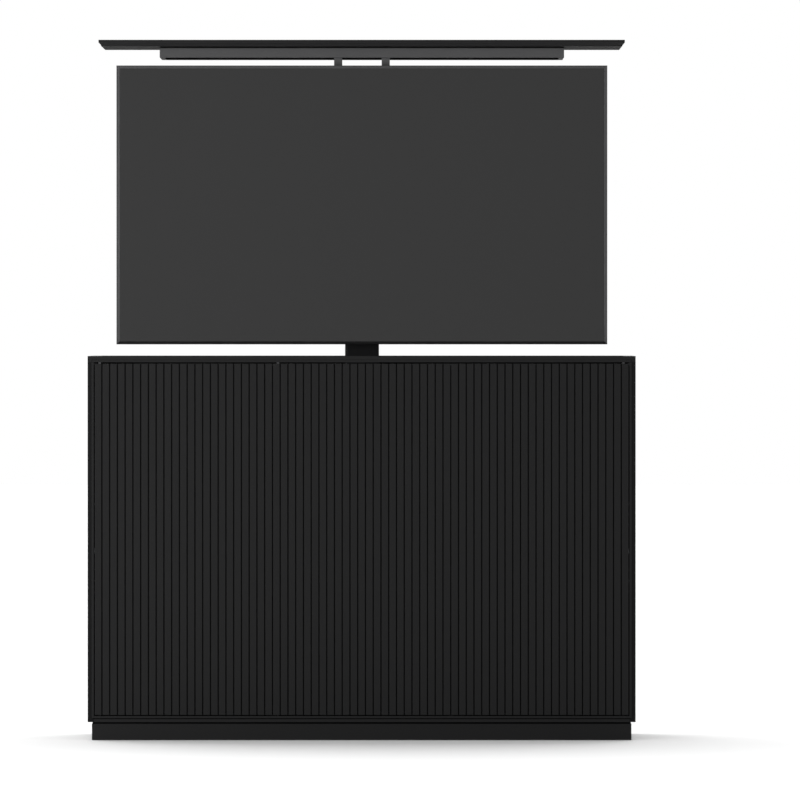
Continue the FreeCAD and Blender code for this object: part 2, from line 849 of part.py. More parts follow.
def crossbars():
    half = crossbar_height / 2
    return Part.makeCompound([
        box(-crossbar_width / 2, crossbar_width / 2, crossbar_y, bracket_y, z - half, z + half)
        for z in (crossbar_low_z, crossbar_high_z)
    ])


def lift_bracket():
    """A welded plate with a flange that hangs it from the top of the inner profile."""
    half = bracket_width / 2
    rib_inside = outer_size[0] / 2 + bracket_side_clearance
    rib_outside = rib_inside + bracket_gusset
    flange_back = column_y + inner_size[1] / 2
    flange_top = bracket_top + bracket_flange
    plate = box(-half, half, bracket_y, bracket_back_y, bracket_bottom, flange_top)
    flange = box(-rib_outside, rib_outside, bracket_back_y, flange_back, bracket_top, flange_top)
    rib_outline = [
        (bracket_back_y, bracket_top),
        (flange_back, bracket_top),
        (bracket_back_y, bracket_top - bracket_gusset_height),
    ]
    left_rib = prism_x(rib_outline, -rib_outside, -rib_inside)
    right_rib = prism_x(rib_outline, rib_inside, rib_outside)
    return plate.fuse([flange, left_rib, right_rib]).removeSplitter()


def lid_posts():
    """Two channels that stand on the crossbars and carry the tray under the lid."""
    half = post_width / 2
    x = post_spacing / 2
    outline = [
        (x - half, post_y), (x + half, post_y), (x + half, crossbar_y),
        (x + half - post_wall, crossbar_y), (x + half - post_wall, post_y + post_wall),
        (x - half + post_wall, post_y + post_wall), (x - half + post_wall, crossbar_y),
        (x - half, crossbar_y),
    ]
    return pair(prism_z(outline, bracket_bottom, tray_top - tray_sheet))


def lid_tray():
    """A folded steel tray, upside down, whose edges turn in along the bottom at front and back."""
    half = tray_width / 2
    back_y = tray_front_y + tray_depth
    outside = box(-half, half, tray_front_y, back_y, tray_bottom, tray_top)
    inside = box(-half + tray_sheet, half - tray_sheet, tray_front_y + tray_sheet, back_y - tray_sheet,
                 tray_bottom + tray_sheet, tray_top - tray_sheet)
    mouth = box(-half + tray_lip, half - tray_lip, tray_front_y + tray_lip, back_y - tray_lip,
                tray_bottom, tray_bottom + tray_sheet)
    return outside.cut([inside, mouth])


def build():
    pieces = {
        "left_side": side_board(-1),
        "right_side": side_board(1),
        "bottom_board": bottom_board(),
        "back_panel": back_panel(),
        "cable_outlet": cable_outlet(),
        "well_partition": partition(),
        "bay_top": bay_top(),
        "left_divider": divider(-1),
        "right_divider": divider(1),
        "left_shelf": shelf("left"),
        "centre_shelf": shelf("centre"),
        "right_shelf": shelf("right"),
        "shelf_supports": shelf_supports(),
        "door_pivots": door_pivots(),
        "latch_bodies": Part.makeCompound([latch_body(x) for x in latch_places().values()]),
        "base_plate": base_plate(),
        "base_bolts": base_bolts(),
        "gearbox": gearbox(),
        "drive_motor": drive_motor(),
        "control_box": control_box(),
        "supply_gland": supply_gland(),
        "outer_profile": profile_tube(outer_size, outer_wall, outer_bottom, outer_top),
        "outer_collar": collar(outer_size, outer_wall, middle_size, outer_top),
        "lower_spindle": lower_spindle(),
        "middle_profile": raised(profile_tube(middle_size, middle_wall, middle_bottom, middle_top), stroke),
        "middle_foot": raised(foot_plate(middle_size, middle_wall, lower_spindle_radius, middle_bottom),
                              stroke),
        "middle_nut": raised(spindle_nut(lower_spindle_radius, middle_bottom), stroke),
        "middle_glides": raised(glides(middle_size, outer_size, outer_wall, middle_bottom), stroke),
        "middle_collar": raised(collar(middle_size, middle_wall, inner_size, middle_top), stroke),
        "upper_spindle": raised(upper_spindle(), stroke),
        "inner_profile": raised(profile_tube(inner_size, inner_wall, inner_bottom, inner_top), travel),
        "inner_foot": raised(foot_plate(inner_size, inner_wall, upper_spindle_radius, inner_bottom), travel),
        "inner_nut": raised(spindle_nut(upper_spindle_radius, inner_bottom), travel),
        "inner_glides": raised(glides(inner_size, middle_size, middle_wall, inner_bottom), travel),
        "lift_bracket": lift_bracket(),
        "crossbars": crossbars(),
        "tv_rails": tv_rails(),
        "tv_bolts": tv_bolts(),
        "lid_posts": lid_posts(),
        "lid_tray": lid_tray(),
        "lid": lid_shape(0, lid_bottom),
        "tv_bezel": tv_bezel(),
        "tv_screen": tv_screen(),
        "tv_pan": tv_pan(),
        "tv_rear_cover": tv_rear_cover(),
    }
    pieces.update(top_frame_rails())
    pieces.update(plinth_boards())
    for (name, pivot_x), left_edge in zip(pivot_places().items(), door_left_edges()):
        pieces[name + "_door"] = door(left_edge, pivot_x)
    for name, x in latch_places().items():
        pieces[name + "_plunger"] = latch_plunger(x)
    return pieces


os.makedirs("parts", exist_ok=True)
for node, shape in build().items():
    if not shape.isValid():
        raise ValueError(node + " is not a valid shape")
    shape.exportStep("parts/" + node + ".step")
    print(node, len(shape.Solids), round(shape.Volume / 1000.0, 1), "cubic centimetres")
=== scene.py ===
import json
import math

import bmesh
import bpy
from bpy.props import FloatProperty, FloatVectorProperty, IntProperty, PointerProperty
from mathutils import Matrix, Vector

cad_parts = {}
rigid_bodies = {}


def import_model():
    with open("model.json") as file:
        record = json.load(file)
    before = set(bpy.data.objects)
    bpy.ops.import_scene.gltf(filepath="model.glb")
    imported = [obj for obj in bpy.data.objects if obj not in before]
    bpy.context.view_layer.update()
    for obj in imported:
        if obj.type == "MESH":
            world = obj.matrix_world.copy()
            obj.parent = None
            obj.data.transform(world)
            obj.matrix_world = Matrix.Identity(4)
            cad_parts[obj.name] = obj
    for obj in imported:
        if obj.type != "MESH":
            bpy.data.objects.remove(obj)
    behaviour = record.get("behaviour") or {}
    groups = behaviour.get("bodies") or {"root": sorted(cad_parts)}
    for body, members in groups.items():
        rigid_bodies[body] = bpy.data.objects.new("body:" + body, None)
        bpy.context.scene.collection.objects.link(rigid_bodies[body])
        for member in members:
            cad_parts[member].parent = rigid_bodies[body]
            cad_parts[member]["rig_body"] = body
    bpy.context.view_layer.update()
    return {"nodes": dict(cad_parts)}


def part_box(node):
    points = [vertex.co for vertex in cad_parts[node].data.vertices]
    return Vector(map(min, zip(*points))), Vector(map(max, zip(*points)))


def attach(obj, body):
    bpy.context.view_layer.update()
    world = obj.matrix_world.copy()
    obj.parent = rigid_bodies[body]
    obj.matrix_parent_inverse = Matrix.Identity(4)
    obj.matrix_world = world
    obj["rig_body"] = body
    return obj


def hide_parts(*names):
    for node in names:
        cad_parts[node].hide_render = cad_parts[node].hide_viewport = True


bl_info = {
    "name": "Television lift cabinet",
    "version": (1, 0, 0),
    "blender": (4, 5, 0),
    "location": "View3D > Sidebar > Lift Cabinet",
    "description": "Dresses the CAD frame of a reeded cabinet whose television rises out of its top",
    "category": "Object",
}

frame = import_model()

MM = 0.001
TOUCH = 0.0001
STEP_WIDTH = 11 * MM
STEP_DEPTH = 3 * MM
BRACKET_PLATE = 4 * MM
UP = (0, 0, 1)
DOWN = (0, 0, -1)
BACK = (0, 1, 0)
FRONT = (0, -1, 0)
RIGHT = (1, 0, 0)
LEFT = (-1, 0, 0)

LOOKS = {}


# Selecting and editing

def only(*pieces):
    """Selects these objects and nothing else, with the first one active."""
    bpy.ops.object.select_all(action="DESELECT")
    for piece in pieces:
        piece.select_set(True)
    bpy.context.view_layer.objects.active = pieces[0]


def turn_to(direction, axis="Z"):
    """The rotation that points an object's axis in this direction."""
    return Vector(direction).to_track_quat(axis, "Y").to_euler()


def modify(piece, kind, **settings):
    """Applies one modifier with these settings."""
    only(piece)
    modifier = piece.modifiers.new(kind, kind)
    for name, value in settings.items():
        setattr(modifier, name, value)
    bpy.ops.object.modifier_apply(modifier=modifier.name)


class Bench:
    """Edit mode on one piece, where faces, edges and points are chosen by their place or normal."""

    def __init__(self, piece):
        self.piece = piece

    def __enter__(self):
        only(self.piece)
        bpy.ops.object.mode_set(mode="EDIT")
        bpy.ops.mesh.select_all(action="DESELECT")
        return self

    def __exit__(self, *problem):
        bpy.ops.object.mode_set(mode="OBJECT")

    def choose(self, kind, test):
        bpy.ops.mesh.select_mode(type=kind)
        bpy.ops.mesh.select_all(action="DESELECT")
        mesh = bmesh.from_edit_mesh(self.piece.data)
        for part in {"FACE": mesh.faces, "EDGE": mesh.edges, "VERT": mesh.verts}[kind]:
            if test(part):
                part.select_set(True)
        mesh.select_flush_mode()
        bmesh.update_edit_mesh(self.piece.data)

    def faces(self, test):
        """Chooses the faces whose middle and normal pass the test."""
        self.choose("FACE", lambda face: test(face.calc_center_median(), face.normal))

    def facing(self, direction):
        self.faces(lambda spot, normal: normal.dot(Vector(direction)) > 0.99)

    def points(self, test):
        self.choose("VERT", lambda vert: test(vert.co))

    def sharp_edges(self, test, least=25):
        """Chooses the edges that turn by more than least degrees and whose middle passes the test."""

        def passes(edge):
            if len(edge.link_faces) != 2 or edge.calc_face_angle() < math.radians(least):
                return False
            first, second = edge.verts
            return test((first.co + second.co) / 2, (second.co - first.co).normalized())

        self.choose("EDGE", passes)

    def extrude(self, *move):
        bpy.ops.mesh.extrude_region_move(TRANSFORM_OT_translate={"value": move})

    def grow(self, factor):
        """Scales what is chosen about the Z axis."""
        bpy.ops.transform.resize(value=(factor, factor, 1), center_override=(0, 0, 0))


def everywhere(spot, along):
    return True


def along_depth(spot, along):
    return abs(along.y) > 0.9


def start(name):
    """Names the active object and puts its place into its mesh."""
    piece = bpy.context.active_object
    piece.name = piece.data.name = name
    bpy.ops.object.transform_apply(location=True, rotation=True, scale=True)
    return piece


def block(name, low, high):
    """A box between its lowest and its highest corner, to be shaped further."""
    low, high = Vector(low), Vector(high)
    bpy.ops.object.select_all(action="DESELECT")
    bpy.ops.mesh.primitive_cube_add(size=1, location=(low + high) / 2)
    bpy.context.active_object.scale = high - low
    return start(name)


def in_mm(rings):
    return [(radius * MM, height * MM) for radius, height in rings]


def turned(name, rings, foot=(0, 0, 0), along=UP, sides=32, hollow=False):
    """Rings of (radius, height), extruded one from the other, with flat ends or joined up to a tube."""
    radius, height = rings[0]
    bpy.ops.object.select_all(action="DESELECT")
    bpy.ops.mesh.primitive_circle_add(vertices=sides, radius=radius, location=(0, 0, height),
                                      fill_type="NOTHING" if hollow else "NGON")
    piece = start(name)
    with Bench(piece) as bench:
        bpy.ops.mesh.select_all(action="SELECT")
        for next_radius, next_height in rings[1:] + (rings[:1] if hollow else []):
            bench.extrude(0, 0, next_height - height)
            bench.grow(next_radius / radius)
            radius, height = next_radius, next_height
        bpy.ops.mesh.select_all(action="SELECT")
        bpy.ops.mesh.remove_doubles(threshold=0.000002)
        bpy.ops.mesh.normals_make_consistent(inside=False)
    piece.location = foot
    piece.rotation_euler = turn_to(along)
    return start(name)


def traced(node, name):
    """A piece that starts from the CAD node's shape, with its loose triangles joined into plain faces."""
    piece = bpy.data.objects.new(name, frame["nodes"][node].data.copy())
    piece.data.name = name
    piece.data.materials.clear()
    bpy.context.scene.collection.objects.link(piece)
    only(piece)
    bpy.ops.mesh.customdata_custom_splitnormals_clear()
    with Bench(piece):
        bpy.ops.mesh.select_all(action="SELECT")
        bpy.ops.mesh.remove_doubles(threshold=0.00001)
        bpy.ops.mesh.dissolve_limited(angle_limit=math.radians(0.4))
    return piece


def ease(piece, width, segments=2, where=everywhere, least=25):
    """Rounds the sharp edges that pass the test."""
    with Bench(piece) as bench:
        bench.sharp_edges(where, least)
        bpy.ops.mesh.bevel(offset=width, segments=segments, affect="EDGES", clamp_overlap=True)


def keep_bevels(piece):
    """Marks the blunt edges of a bevelled shape, so that shading keeps their lines."""
    with Bench(piece) as bench:
        bench.choose("EDGE", lambda edge: len(edge.link_faces) == 2
                     and 25 < math.degrees(edge.calc_face_angle()) < 60)
        bpy.ops.mesh.mark_sharp()


def smooth(piece, angle):
    """Soft shading over edges that turn by less than angle degrees, with large faces kept flat."""
    only(piece)
    bpy.ops.object.shade_smooth_by_angle(angle=math.radians(angle))
    modify(piece, "WEIGHTED_NORMAL", keep_sharp=True)


def cut(piece, *tools):
    """Takes the tools' shapes out of the piece."""
    for tool in tools:
        modify(piece, "BOOLEAN", operation="DIFFERENCE", solver="EXACT", object=tool)
        bpy.data.objects.remove(tool)


def edge_ring(low, high, height, side_depth, depth):
    """A ring-shaped tool for a rebate along the upper outer edge of a box."""
    over = 1 * MM
    foot = high.z - height
    ring = block("tool", (low.x - over, low.y - over, foot), (high.x + over, high.y + over, high.z + over))
    cut(ring, block("core", (low.x + side_depth, low.y + depth, foot - over),
                    (high.x - side_depth, high.y - depth, high.z + 2 * over)))
    return ring


def joined(name, *pieces):
    """One piece out of several."""
    only(*pieces)
    if len(pieces) > 1:
        bpy.ops.object.join()
    return start(name)


def scattered(model, name, places):
    """Copies of a model that stands on the origin, each at its (foot, direction), joined into one piece."""
    copies = []
    for foot, along in places:
        only(model)
        bpy.ops.object.duplicate(linked=False)
        copy = bpy.context.active_object
        copy.location = foot
        copy.rotation_euler = turn_to(along)
        copies.append(copy)
    bpy.data.objects.remove(model)
    return joined(name, *copies)


# Places for repeated parts

def middle(node):
    low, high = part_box(node)
    return (low + high) / 2


def grid(xs, ys, zs, along):
    return [((x, y, z), along) for x in xs for y in ys for z in zs]


def spread(first, last, count):
    return [first + (last - first) * index / (count - 1) for index in range(count)]


def border(node, inset, across_count, up_count):
    """Evenly spaced places along the four edges of a node's back."""
    low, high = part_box(node)
    across = spread(low.x + inset, high.x - inset, across_count)
    up = spread(low.z + inset, high.z - inset, up_count)
    sides = [((x, high.y, z), BACK) for z in up[1:-1] for x in (across[0], across[-1])]
    return grid(across, [high.y], (up[0], up[-1]), BACK) + sides


# Putting finished pieces on the frame

def settle(piece, body, slot, look=None, angle=50):
    """Gives a piece its shading, the finish of its look or slot, and the body that it moves with."""
    smooth(piece, angle)
    piece.data.materials.clear()
    piece.data.materials.append(LOOKS[look or slot])
    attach(piece, body)
    return piece


def stand_for(piece, node, look=None, angle=50):
    """The piece takes the CAD node's place and body, and the finish of its slot."""
    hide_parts(node)
    cad_piece = frame["nodes"][node]
    return settle(piece, cad_piece["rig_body"], cad_piece["slot"], look, angle)


def dress(node, name, width, segments=2, special=(), look=None, tools=()):
    """The CAD node's own shape with rounded edges. Each special (width, segments, test) comes first."""
    piece = traced(node, name)
    if special:
        keep_bevels(piece)
    for special_width, special_segments, test in special:
        ease(piece, special_width, special_segments, test, least=60)
    ease(piece, width, segments, lambda spot, along: not any(test(spot, along) for _, _, test in special),
         least=60 if special else 25)
    cut(piece, *tools)
    return stand_for(piece, node, look)


def repaint(piece, look, test):
    """Gives the faces whose middle and normal pass the test another finish."""
    piece.data.materials.append(LOOKS[look])
    for face in piece.data.polygons:
        if test(face.center, face.normal):
            face.material_index = len(piece.data.materials) - 1


# Small parts that are modelled once and copied

def screw(radius):
    """A pan-head screw with a six-lobed recess."""
    height = 0.62 * radius
    profile = [(1, 0), (1, 0.3), (0.93, 0.62), (0.74, 0.88), (0.5, 1)]
    piece = turned("screw", [(radius * across, height * up) for across, up in profile], sides=24)
    with Bench(piece) as bench:
        bench.faces(lambda spot, normal: normal.z > 0.99 and spot.z > 0.9 * height)
        bpy.ops.mesh.inset(thickness=0.06 * radius)
        for lobe_steps, shrink in (((2,), 0.72), ((1, 3), 0.88)):
            bench.points(lambda spot: spot.z > 0.9 * height and 0.3 * radius < spot.xy.length < 0.47 * radius
                         and round(math.degrees(math.atan2(spot.y, spot.x)) / 15) % 4 in lobe_steps)
            bench.grow(shrink)
        bench.faces(lambda spot, normal: normal.z > 0.99 and spot.xy.length < 0.1 * radius and spot.z > 0)
        bench.extrude(0, 0, -0.55 * height)
    return piece


def add_screws(name, radius, places, body="cabinet", look=None):
    settle(scattered(screw(radius), name, places), body, "zinc_steel", look, 40)


def washer(inner, outer, thickness):
    """A ring with chamfers round its upper edges."""
    chamfer = 0.2 * thickness
    return turned("washer", [(inner, 0), (outer, 0), (outer, thickness - chamfer),
                             (outer - chamfer, thickness), (inner + chamfer, thickness),
                             (inner, thickness - chamfer)], sides=28, hollow=True)


def hexagon_bolt(radius):
    """A chamfered hexagon head on a washer."""
    lift = 0.22 * radius
    height = 0.72 * radius
    head = turned("bolt", [(radius, lift), (radius, lift + 0.85 * height), (0.87 * radius, lift + height)],
                  sides=6)
    with Bench(head) as bench:
        bench.facing(UP)
        bpy.ops.mesh.inset(thickness=0.22 * radius)
        bpy.ops.transform.translate(value=(0, 0, -0.06 * radius))
    return joined("bolt", head, washer(0.5 * radius, 1.45 * radius, lift))


def weld(first, last, radius):
    """A rippled bead from one point to another."""
    first, last = Vector(first), Vector(last)
    length = (last - first).length
    ripples = max(3, round(length / (1.1 * radius)))
    step = length / ripples / 2
    rings = [(0.55 * radius, 0)]
    for index in range(ripples):
        rings.append((radius * (1.0 + 0.1 * math.sin(2.3 * index)), (2 * index + 1) * step))
        rings.append((0.84 * radius, (2 * index + 2) * step))
    rings[-1] = (0.55 * radius, length)
    return turned("bead", rings, foot=first, along=last - first, sides=10)


def socket(name, width, height, depth, wall, tongue=True):
    """A connector opening that looks along +Z, with a tongue inside. All sizes are in millimetres."""
    width, height, depth, wall = (size * MM for size in (width, height, depth, wall))
    shell = block(name, (-width / 2, -height / 2, 0), (width / 2, height / 2, depth))
    with Bench(shell) as bench:
        bench.facing(UP)
        bpy.ops.mesh.inset(thickness=wall)
        bench.extrude(0, 0, -0.8 * depth)
    ease(shell, 0.25 * wall, 1)
    if not tongue:
        return shell
    inside = (width - 2 * wall) * 0.36
    thick = (height - 2 * wall) * 0.14
    tongue_piece = block("tongue", (-inside, -thick, 0.1 * depth), (inside, thick, 0.75 * depth))
    ease(tongue_piece, 0.3 * thick, 1)
    return joined(name, shell, tongue_piece)


# Shader maths

class Signal:
    """A node's output. Each operator on it adds a Math node."""

    def __init__(self, nodes, socket):
        self.nodes = nodes
        self.socket = socket

    def maths(self, operation, *others):
        values = dict(enumerate((self,) + others))
        return self.nodes.node("ShaderNodeMath", {"operation": operation}, values)

    def __add__(self, other):
        return self.maths("ADD", other)

    def __sub__(self, other):
        return self.maths("SUBTRACT", other)

    def __rsub__(self, other):
        return self.maths("MULTIPLY_ADD", -1, other)

    def __mul__(self, other):
        return self.maths("MULTIPLY", other)

    def __pow__(self, other):
        return self.maths("POWER", other)

    __radd__ = __add__
    __rmul__ = __mul__

    def sine(self):
        return self.maths("SINE")

    def larger(self, other):
        return self.maths("MAXIMUM", other)

    def angle_from(self, other):
        return self.maths("ARCTAN2", other)

    def between(self, low, high):
        """A soft step from 0 at low to 1 at high."""
        return self.nodes.node("ShaderNodeMapRange", {"interpolation_type": "SMOOTHSTEP"},
                               {"Value": self, "From Min": low, "From Max": high})


class Nodes:
    """A node tree that is written as expressions."""

    def __init__(self, owner):
        owner.use_nodes = True
        self.tree = owner.node_tree
        self.tree.nodes.clear()

    def node(self, kind, settings=None, sockets=None, output=0):
        """Adds a node, makes its settings, feeds its sockets and gives one of its outputs."""
        node = self.tree.nodes.new(kind)
        for name, value in (settings or {}).items():
            setattr(node, name, value)
        for name, value in (sockets or {}).items():
            self.feed(node.inputs[name], value)
        return Signal(self, node.outputs[output]) if len(node.outputs) else None

    def feed(self, socket, value):
        if isinstance(value, Signal):
            self.tree.links.new(value.socket, socket)
        else:
            socket.default_value = value


class Finish(Nodes):
    """A material whose patterns lie on the piece's own coordinates, in metres."""

    def __init__(self, name, base, **constants):
        self.material = bpy.data.materials.new(name)
        super().__init__(self.material)
        self.base = base
        surface = self.node("ShaderNodeBsdfPrincipled")
        self.shader = surface.socket.node
        self.node("ShaderNodeOutputMaterial", sockets={"Surface": surface})
        self.place = self.node("ShaderNodeTexCoord", output="Object")
        for name, value in constants.items():
            self.shader.inputs[name.replace("_", " ")].default_value = value

    def axis(self, index):
        return self.node("ShaderNodeSeparateXYZ", sockets={0: self.place}, output=index)

    def noise(self, scale, detail=2.0, stretch=None):
        place = self.place
        if stretch:
            place = self.node("ShaderNodeVectorMath", {"operation": "MULTIPLY"}, {0: place, 1: stretch})
        return self.node("ShaderNodeTexNoise", sockets={"Vector": place, "Scale": scale, "Detail": detail})

    def cells(self, scale, output="Distance"):
        sockets = {"Vector": self.place, "Scale": scale}
        return self.node("ShaderNodeTexVoronoi", sockets=sockets, output=output)

    def mix(self, share, first, second):
        return self.node("ShaderNodeMix", {"data_type": "RGBA"}, {0: share, 6: first, 7: second}, output=2)

    def tint(self, share, dark, light):
        """The base colour between two of its shades."""
        return self.mix(share, shade(self.base, dark), shade(self.base, light))

    def show(self, name, value):
        self.feed(self.shader.inputs[name], value)

    def made(self, colour, roughness, height=None, depth=0.0):
        """Feeds the shader, with a surface raised by up to depth metres where height is 1."""
        self.show("Base Color", colour)
        self.show("Roughness", roughness)
        if height:
            raised = {"Strength": 1.0, "Distance": depth, "Height": height}
            self.show("Normal", self.node("ShaderNodeBump", sockets=raised))
        return self.material


def shade(colour, factor):
    """The colour made lighter or darker, with its alpha."""
    return tuple(channel * factor for channel in colour[:3]) + (1.0,)


# Finishes

def lacquer(name, colour, grain=0.0, specular=0.13, roughness=0.45):
    """Satin lacquer on board: orange peel, a trace of brushing along the grain, and faint cloudiness."""
    look = Finish(name, colour, Specular_IOR_Level=specular)
    cloud = look.noise(1.3, 2)
    handled = look.noise(14, 3).between(0.52, 0.7)
    fibres = look.noise(60, 3, (12.0, 12.0, 0.35))
    peel = look.noise(330, 2) * (0.7 - 0.4 * grain) + fibres * grain + look.noise(1500, 1) * 0.15
    return look.made(look.mix(fibres * 0.5, look.tint(cloud, 0.9, 1.1), shade(colour, 1.3)),
                     roughness + 0.03 * cloud + 0.02 * handled + 0.03 * look.noise(900, 1), peel, 0.00003)


def powder_coat(name, colour, grain=900, depth=0.00005, specular=0.3):
    """Powder coat: a fine hammered skin with small glints."""
    look = Finish(name, colour, Specular_IOR_Level=specular)
    skin = look.noise(grain, 3)
    cloud = look.noise(5, 3)
    return look.made(look.tint(cloud * 0.6 + skin * 0.4, 0.8, 1.2), 0.46 + 0.16 * skin + 0.06 * cloud,
                     skin * 0.7 + look.cells(grain * 0.8) * 0.3, depth)


def drawn_metal(name, colour, roughness, stretch):
    """Metal with fine drawing or brushing lines along the direction that the stretch leaves longest."""
    look = Finish(name, colour, Metallic=1.0)
    lines = 0.12
    streaks = look.noise(700, 3, stretch)
    broad = look.noise(45, 2, stretch)
    return look.made(look.tint(streaks * 0.5 + look.noise(7, 3) * 0.5, 0.82, 1.16),
                     roughness - 0.5 * lines + lines * streaks + 0.5 * lines * broad,
                     streaks * 0.7 + broad * 0.3, 0.000012)


def zinc(name, colour):
    """Bright zinc plate: small crystals, light scratches and dull spots."""
    look = Finish(name, colour, Metallic=1.0)
    grey = look.node("ShaderNodeRGBToBW", sockets={0: look.cells(900, "Color")})
    scratches = look.noise(400, 2, (1.0, 6.0, 0.4)).between(0.6, 0.75)
    dull = look.noise(90, 3).between(0.45, 0.7)
    return look.made(look.tint(grey * 0.5 + dull * 0.4, 1.08, 0.75),
                     0.24 + 0.1 * grey + 0.16 * dull + 0.1 * scratches,
                     grey * 0.5 + scratches * 0.5, 0.000012)


def threaded_steel(name, colour, lead, centre_y):
    """Rolled spindle steel, greased, whose ridge winds about the column's axis."""
    look = Finish(name, colour, Metallic=1.0)
    turn = (look.axis(1) - centre_y).angle_from(look.axis(0))
    ridge = (look.axis(2) * (2 * math.pi / lead) - turn).sine().between(-0.35, 0.35)
    grease = look.noise(60, 3).between(0.5, 0.62)
    return look.made(look.tint(ridge * 0.6 + grease * 0.4, 0.55, 1.05),
                     0.24 + 0.14 * (1 - ridge) + 0.12 * grease, ridge, 0.0008)


def turned_metal(name, colour, centre_y):
    """Metal with fine turning rings about the column's axis."""
    look = Finish(name, colour, Metallic=1.0)
    x = look.axis(0)
    y = look.axis(1) - centre_y
    rings = ((x * x + y * y) ** 0.5 * 9000).sine() * 0.5 + 0.5
    stain = look.noise(80, 3)
    return look.made(look.tint(stain * 0.7 + rings * 0.3, 0.75, 1.15), 0.26 + 0.1 * rings + 0.14 * stain,
                     rings, 0.000015)


def cast_metal(name, colour):
    """Sand-blasted casting with a grainy skin and shallow hollows."""
    look = Finish(name, colour, Metallic=0.9)
    grain = look.noise(1400, 3)
    hollows = look.noise(160, 3)
    return look.made(look.tint(hollows * 0.6 + grain * 0.4, 0.7, 1.2), 0.42 + 0.2 * grain,
                     grain * 0.5 + hollows * 0.5, 0.00012)


def moulded(name, colour, roughness, grain, depth=0.00003):
    """Moulded plastic with an eroded texture and slightly worn gloss."""
    look = Finish(name, colour, Specular_IOR_Level=0.4)
    skin = look.noise(grain, 2)
    rubbed = look.noise(18, 3).between(0.5, 0.72)
    return look.made(look.tint(skin * 0.5 + rubbed * 0.4, 0.82, 1.25),
                     roughness + 0.1 * skin - 0.08 * rubbed,
                     skin * 0.5 + look.cells(grain * 0.45) * 0.5, depth)


def screen_glass(name, colour):
    """Coated glass over a dark panel, with traces of wiping. Its colour is lighter towards the left and
    carries a faint slanting cloud: a painted reflection.
    """
    look = Finish(name, colour, Specular_IOR_Level=0.48)
    slant = look.noise(0.9, 2, (1.0, 1.0, 0.35))
    wiped = look.noise(9, 3, (1.0, 1.0, 0.25)).between(0.5, 0.8)
    # Painted reflection: the colour lightens towards the left.
    painted_reflection = 0.5 - look.axis(0) * 0.55
    return look.made(look.tint(painted_reflection * 0.75 + slant * 0.25, 0.1, 1.7), 0.1 + 0.014 * wiped + 0.02 * slant,
                     look.noise(3200, 1), 0.0000015)


def signal_light(name, colour):
    """A small lens with light behind it."""
    look = Finish(name, colour, Specular_IOR_Level=0.5, Emission_Strength=0.7)
    core = look.noise(600, 2)
    look.show("Emission Color", look.tint(core, 0.7, 1.0))
    return look.made(look.tint(core, 0.5, 1.0), 0.2 + 0.1 * core)


# Settings that a user would change

def sized(name, description, default, least=0.0):
    """A size, where default and least are in millimetres."""
    return FloatProperty(name=name, description=description, default=default * MM, min=least * MM,
                         unit="LENGTH")


def counted(name, description, default, least=1):
    return IntProperty(name=name, description=description, default=default, min=least)


def coloured(name, description, default):
    return FloatVectorProperty(name=name, description=description, subtype="COLOR", size=3, default=default)


class LiftCabinetSizes(bpy.types.PropertyGroup):
    board_edge: sized("Board edge", "Rounding of the carcass boards' edges", 0.3)
    step_edge: sized("Step edge", "Rounding of the step along the front of the carcass", 1.3)
    plinth_gap: sized("Plinth gap", "Height of the rebate between the plinth and the floor board", 5.5, 0.5)
    step_gap: sized("Step groove", "Height of the fine groove under the step along the floor board",
                    2.2, 0.5)
    reed_edge: sized("Reed edge", "Rounding of each reed's chamfer on the doors", 0.3)
    lid_edge: sized("Lid edge", "Rounding of the lid's lip and bevel", 0.9)
    sheet_bend: sized("Sheet bend", "Outer radius of the folded tray's bends", 1.6)
    tray_gap: sized("Tray gap", "Height of the fine rebate between the tray and the lid", 2.2, 0.2)
    metal_edge: sized("Metal edge", "Rounding of bars, plates and rails", 0.6)
    panel_screws: counted("Panel screws", "Screws along each long side of the back panel", 9, 2)
    pin_rows: counted("Shelf pin rows", "Rows of shelf pin sleeves above and below each shelf", 3)
    motor_grooves: counted("Motor grooves", "Cooling grooves around the drive motor", 7)


class LiftCabinetColours(bpy.types.PropertyGroup):
    lacquer: coloured("Lacquer", "Black satin lacquer of the carcass, doors and lid",
                      (0.0042, 0.0042, 0.0044))
    grey_coat: coloured("Grey coat", "Powder coat of the tray, posts, bracket and rails",
                        (0.08, 0.08, 0.082))
    column: coloured("Column", "Black anodising of the telescopic column", (0.011, 0.011, 0.0115))
    tv_frame: coloured("Television frame", "Dark satin metal around the screen", (0.064, 0.064, 0.0655))
    screen: coloured("Screen", "Panel under the screen's glass", (0.0055, 0.0055, 0.0056))
    tv_case: coloured("Television case", "Moulded rear shell of the television", (0.012, 0.012, 0.0122))


# Groups of pieces, each with the functions that make its parts and the operator that calls them

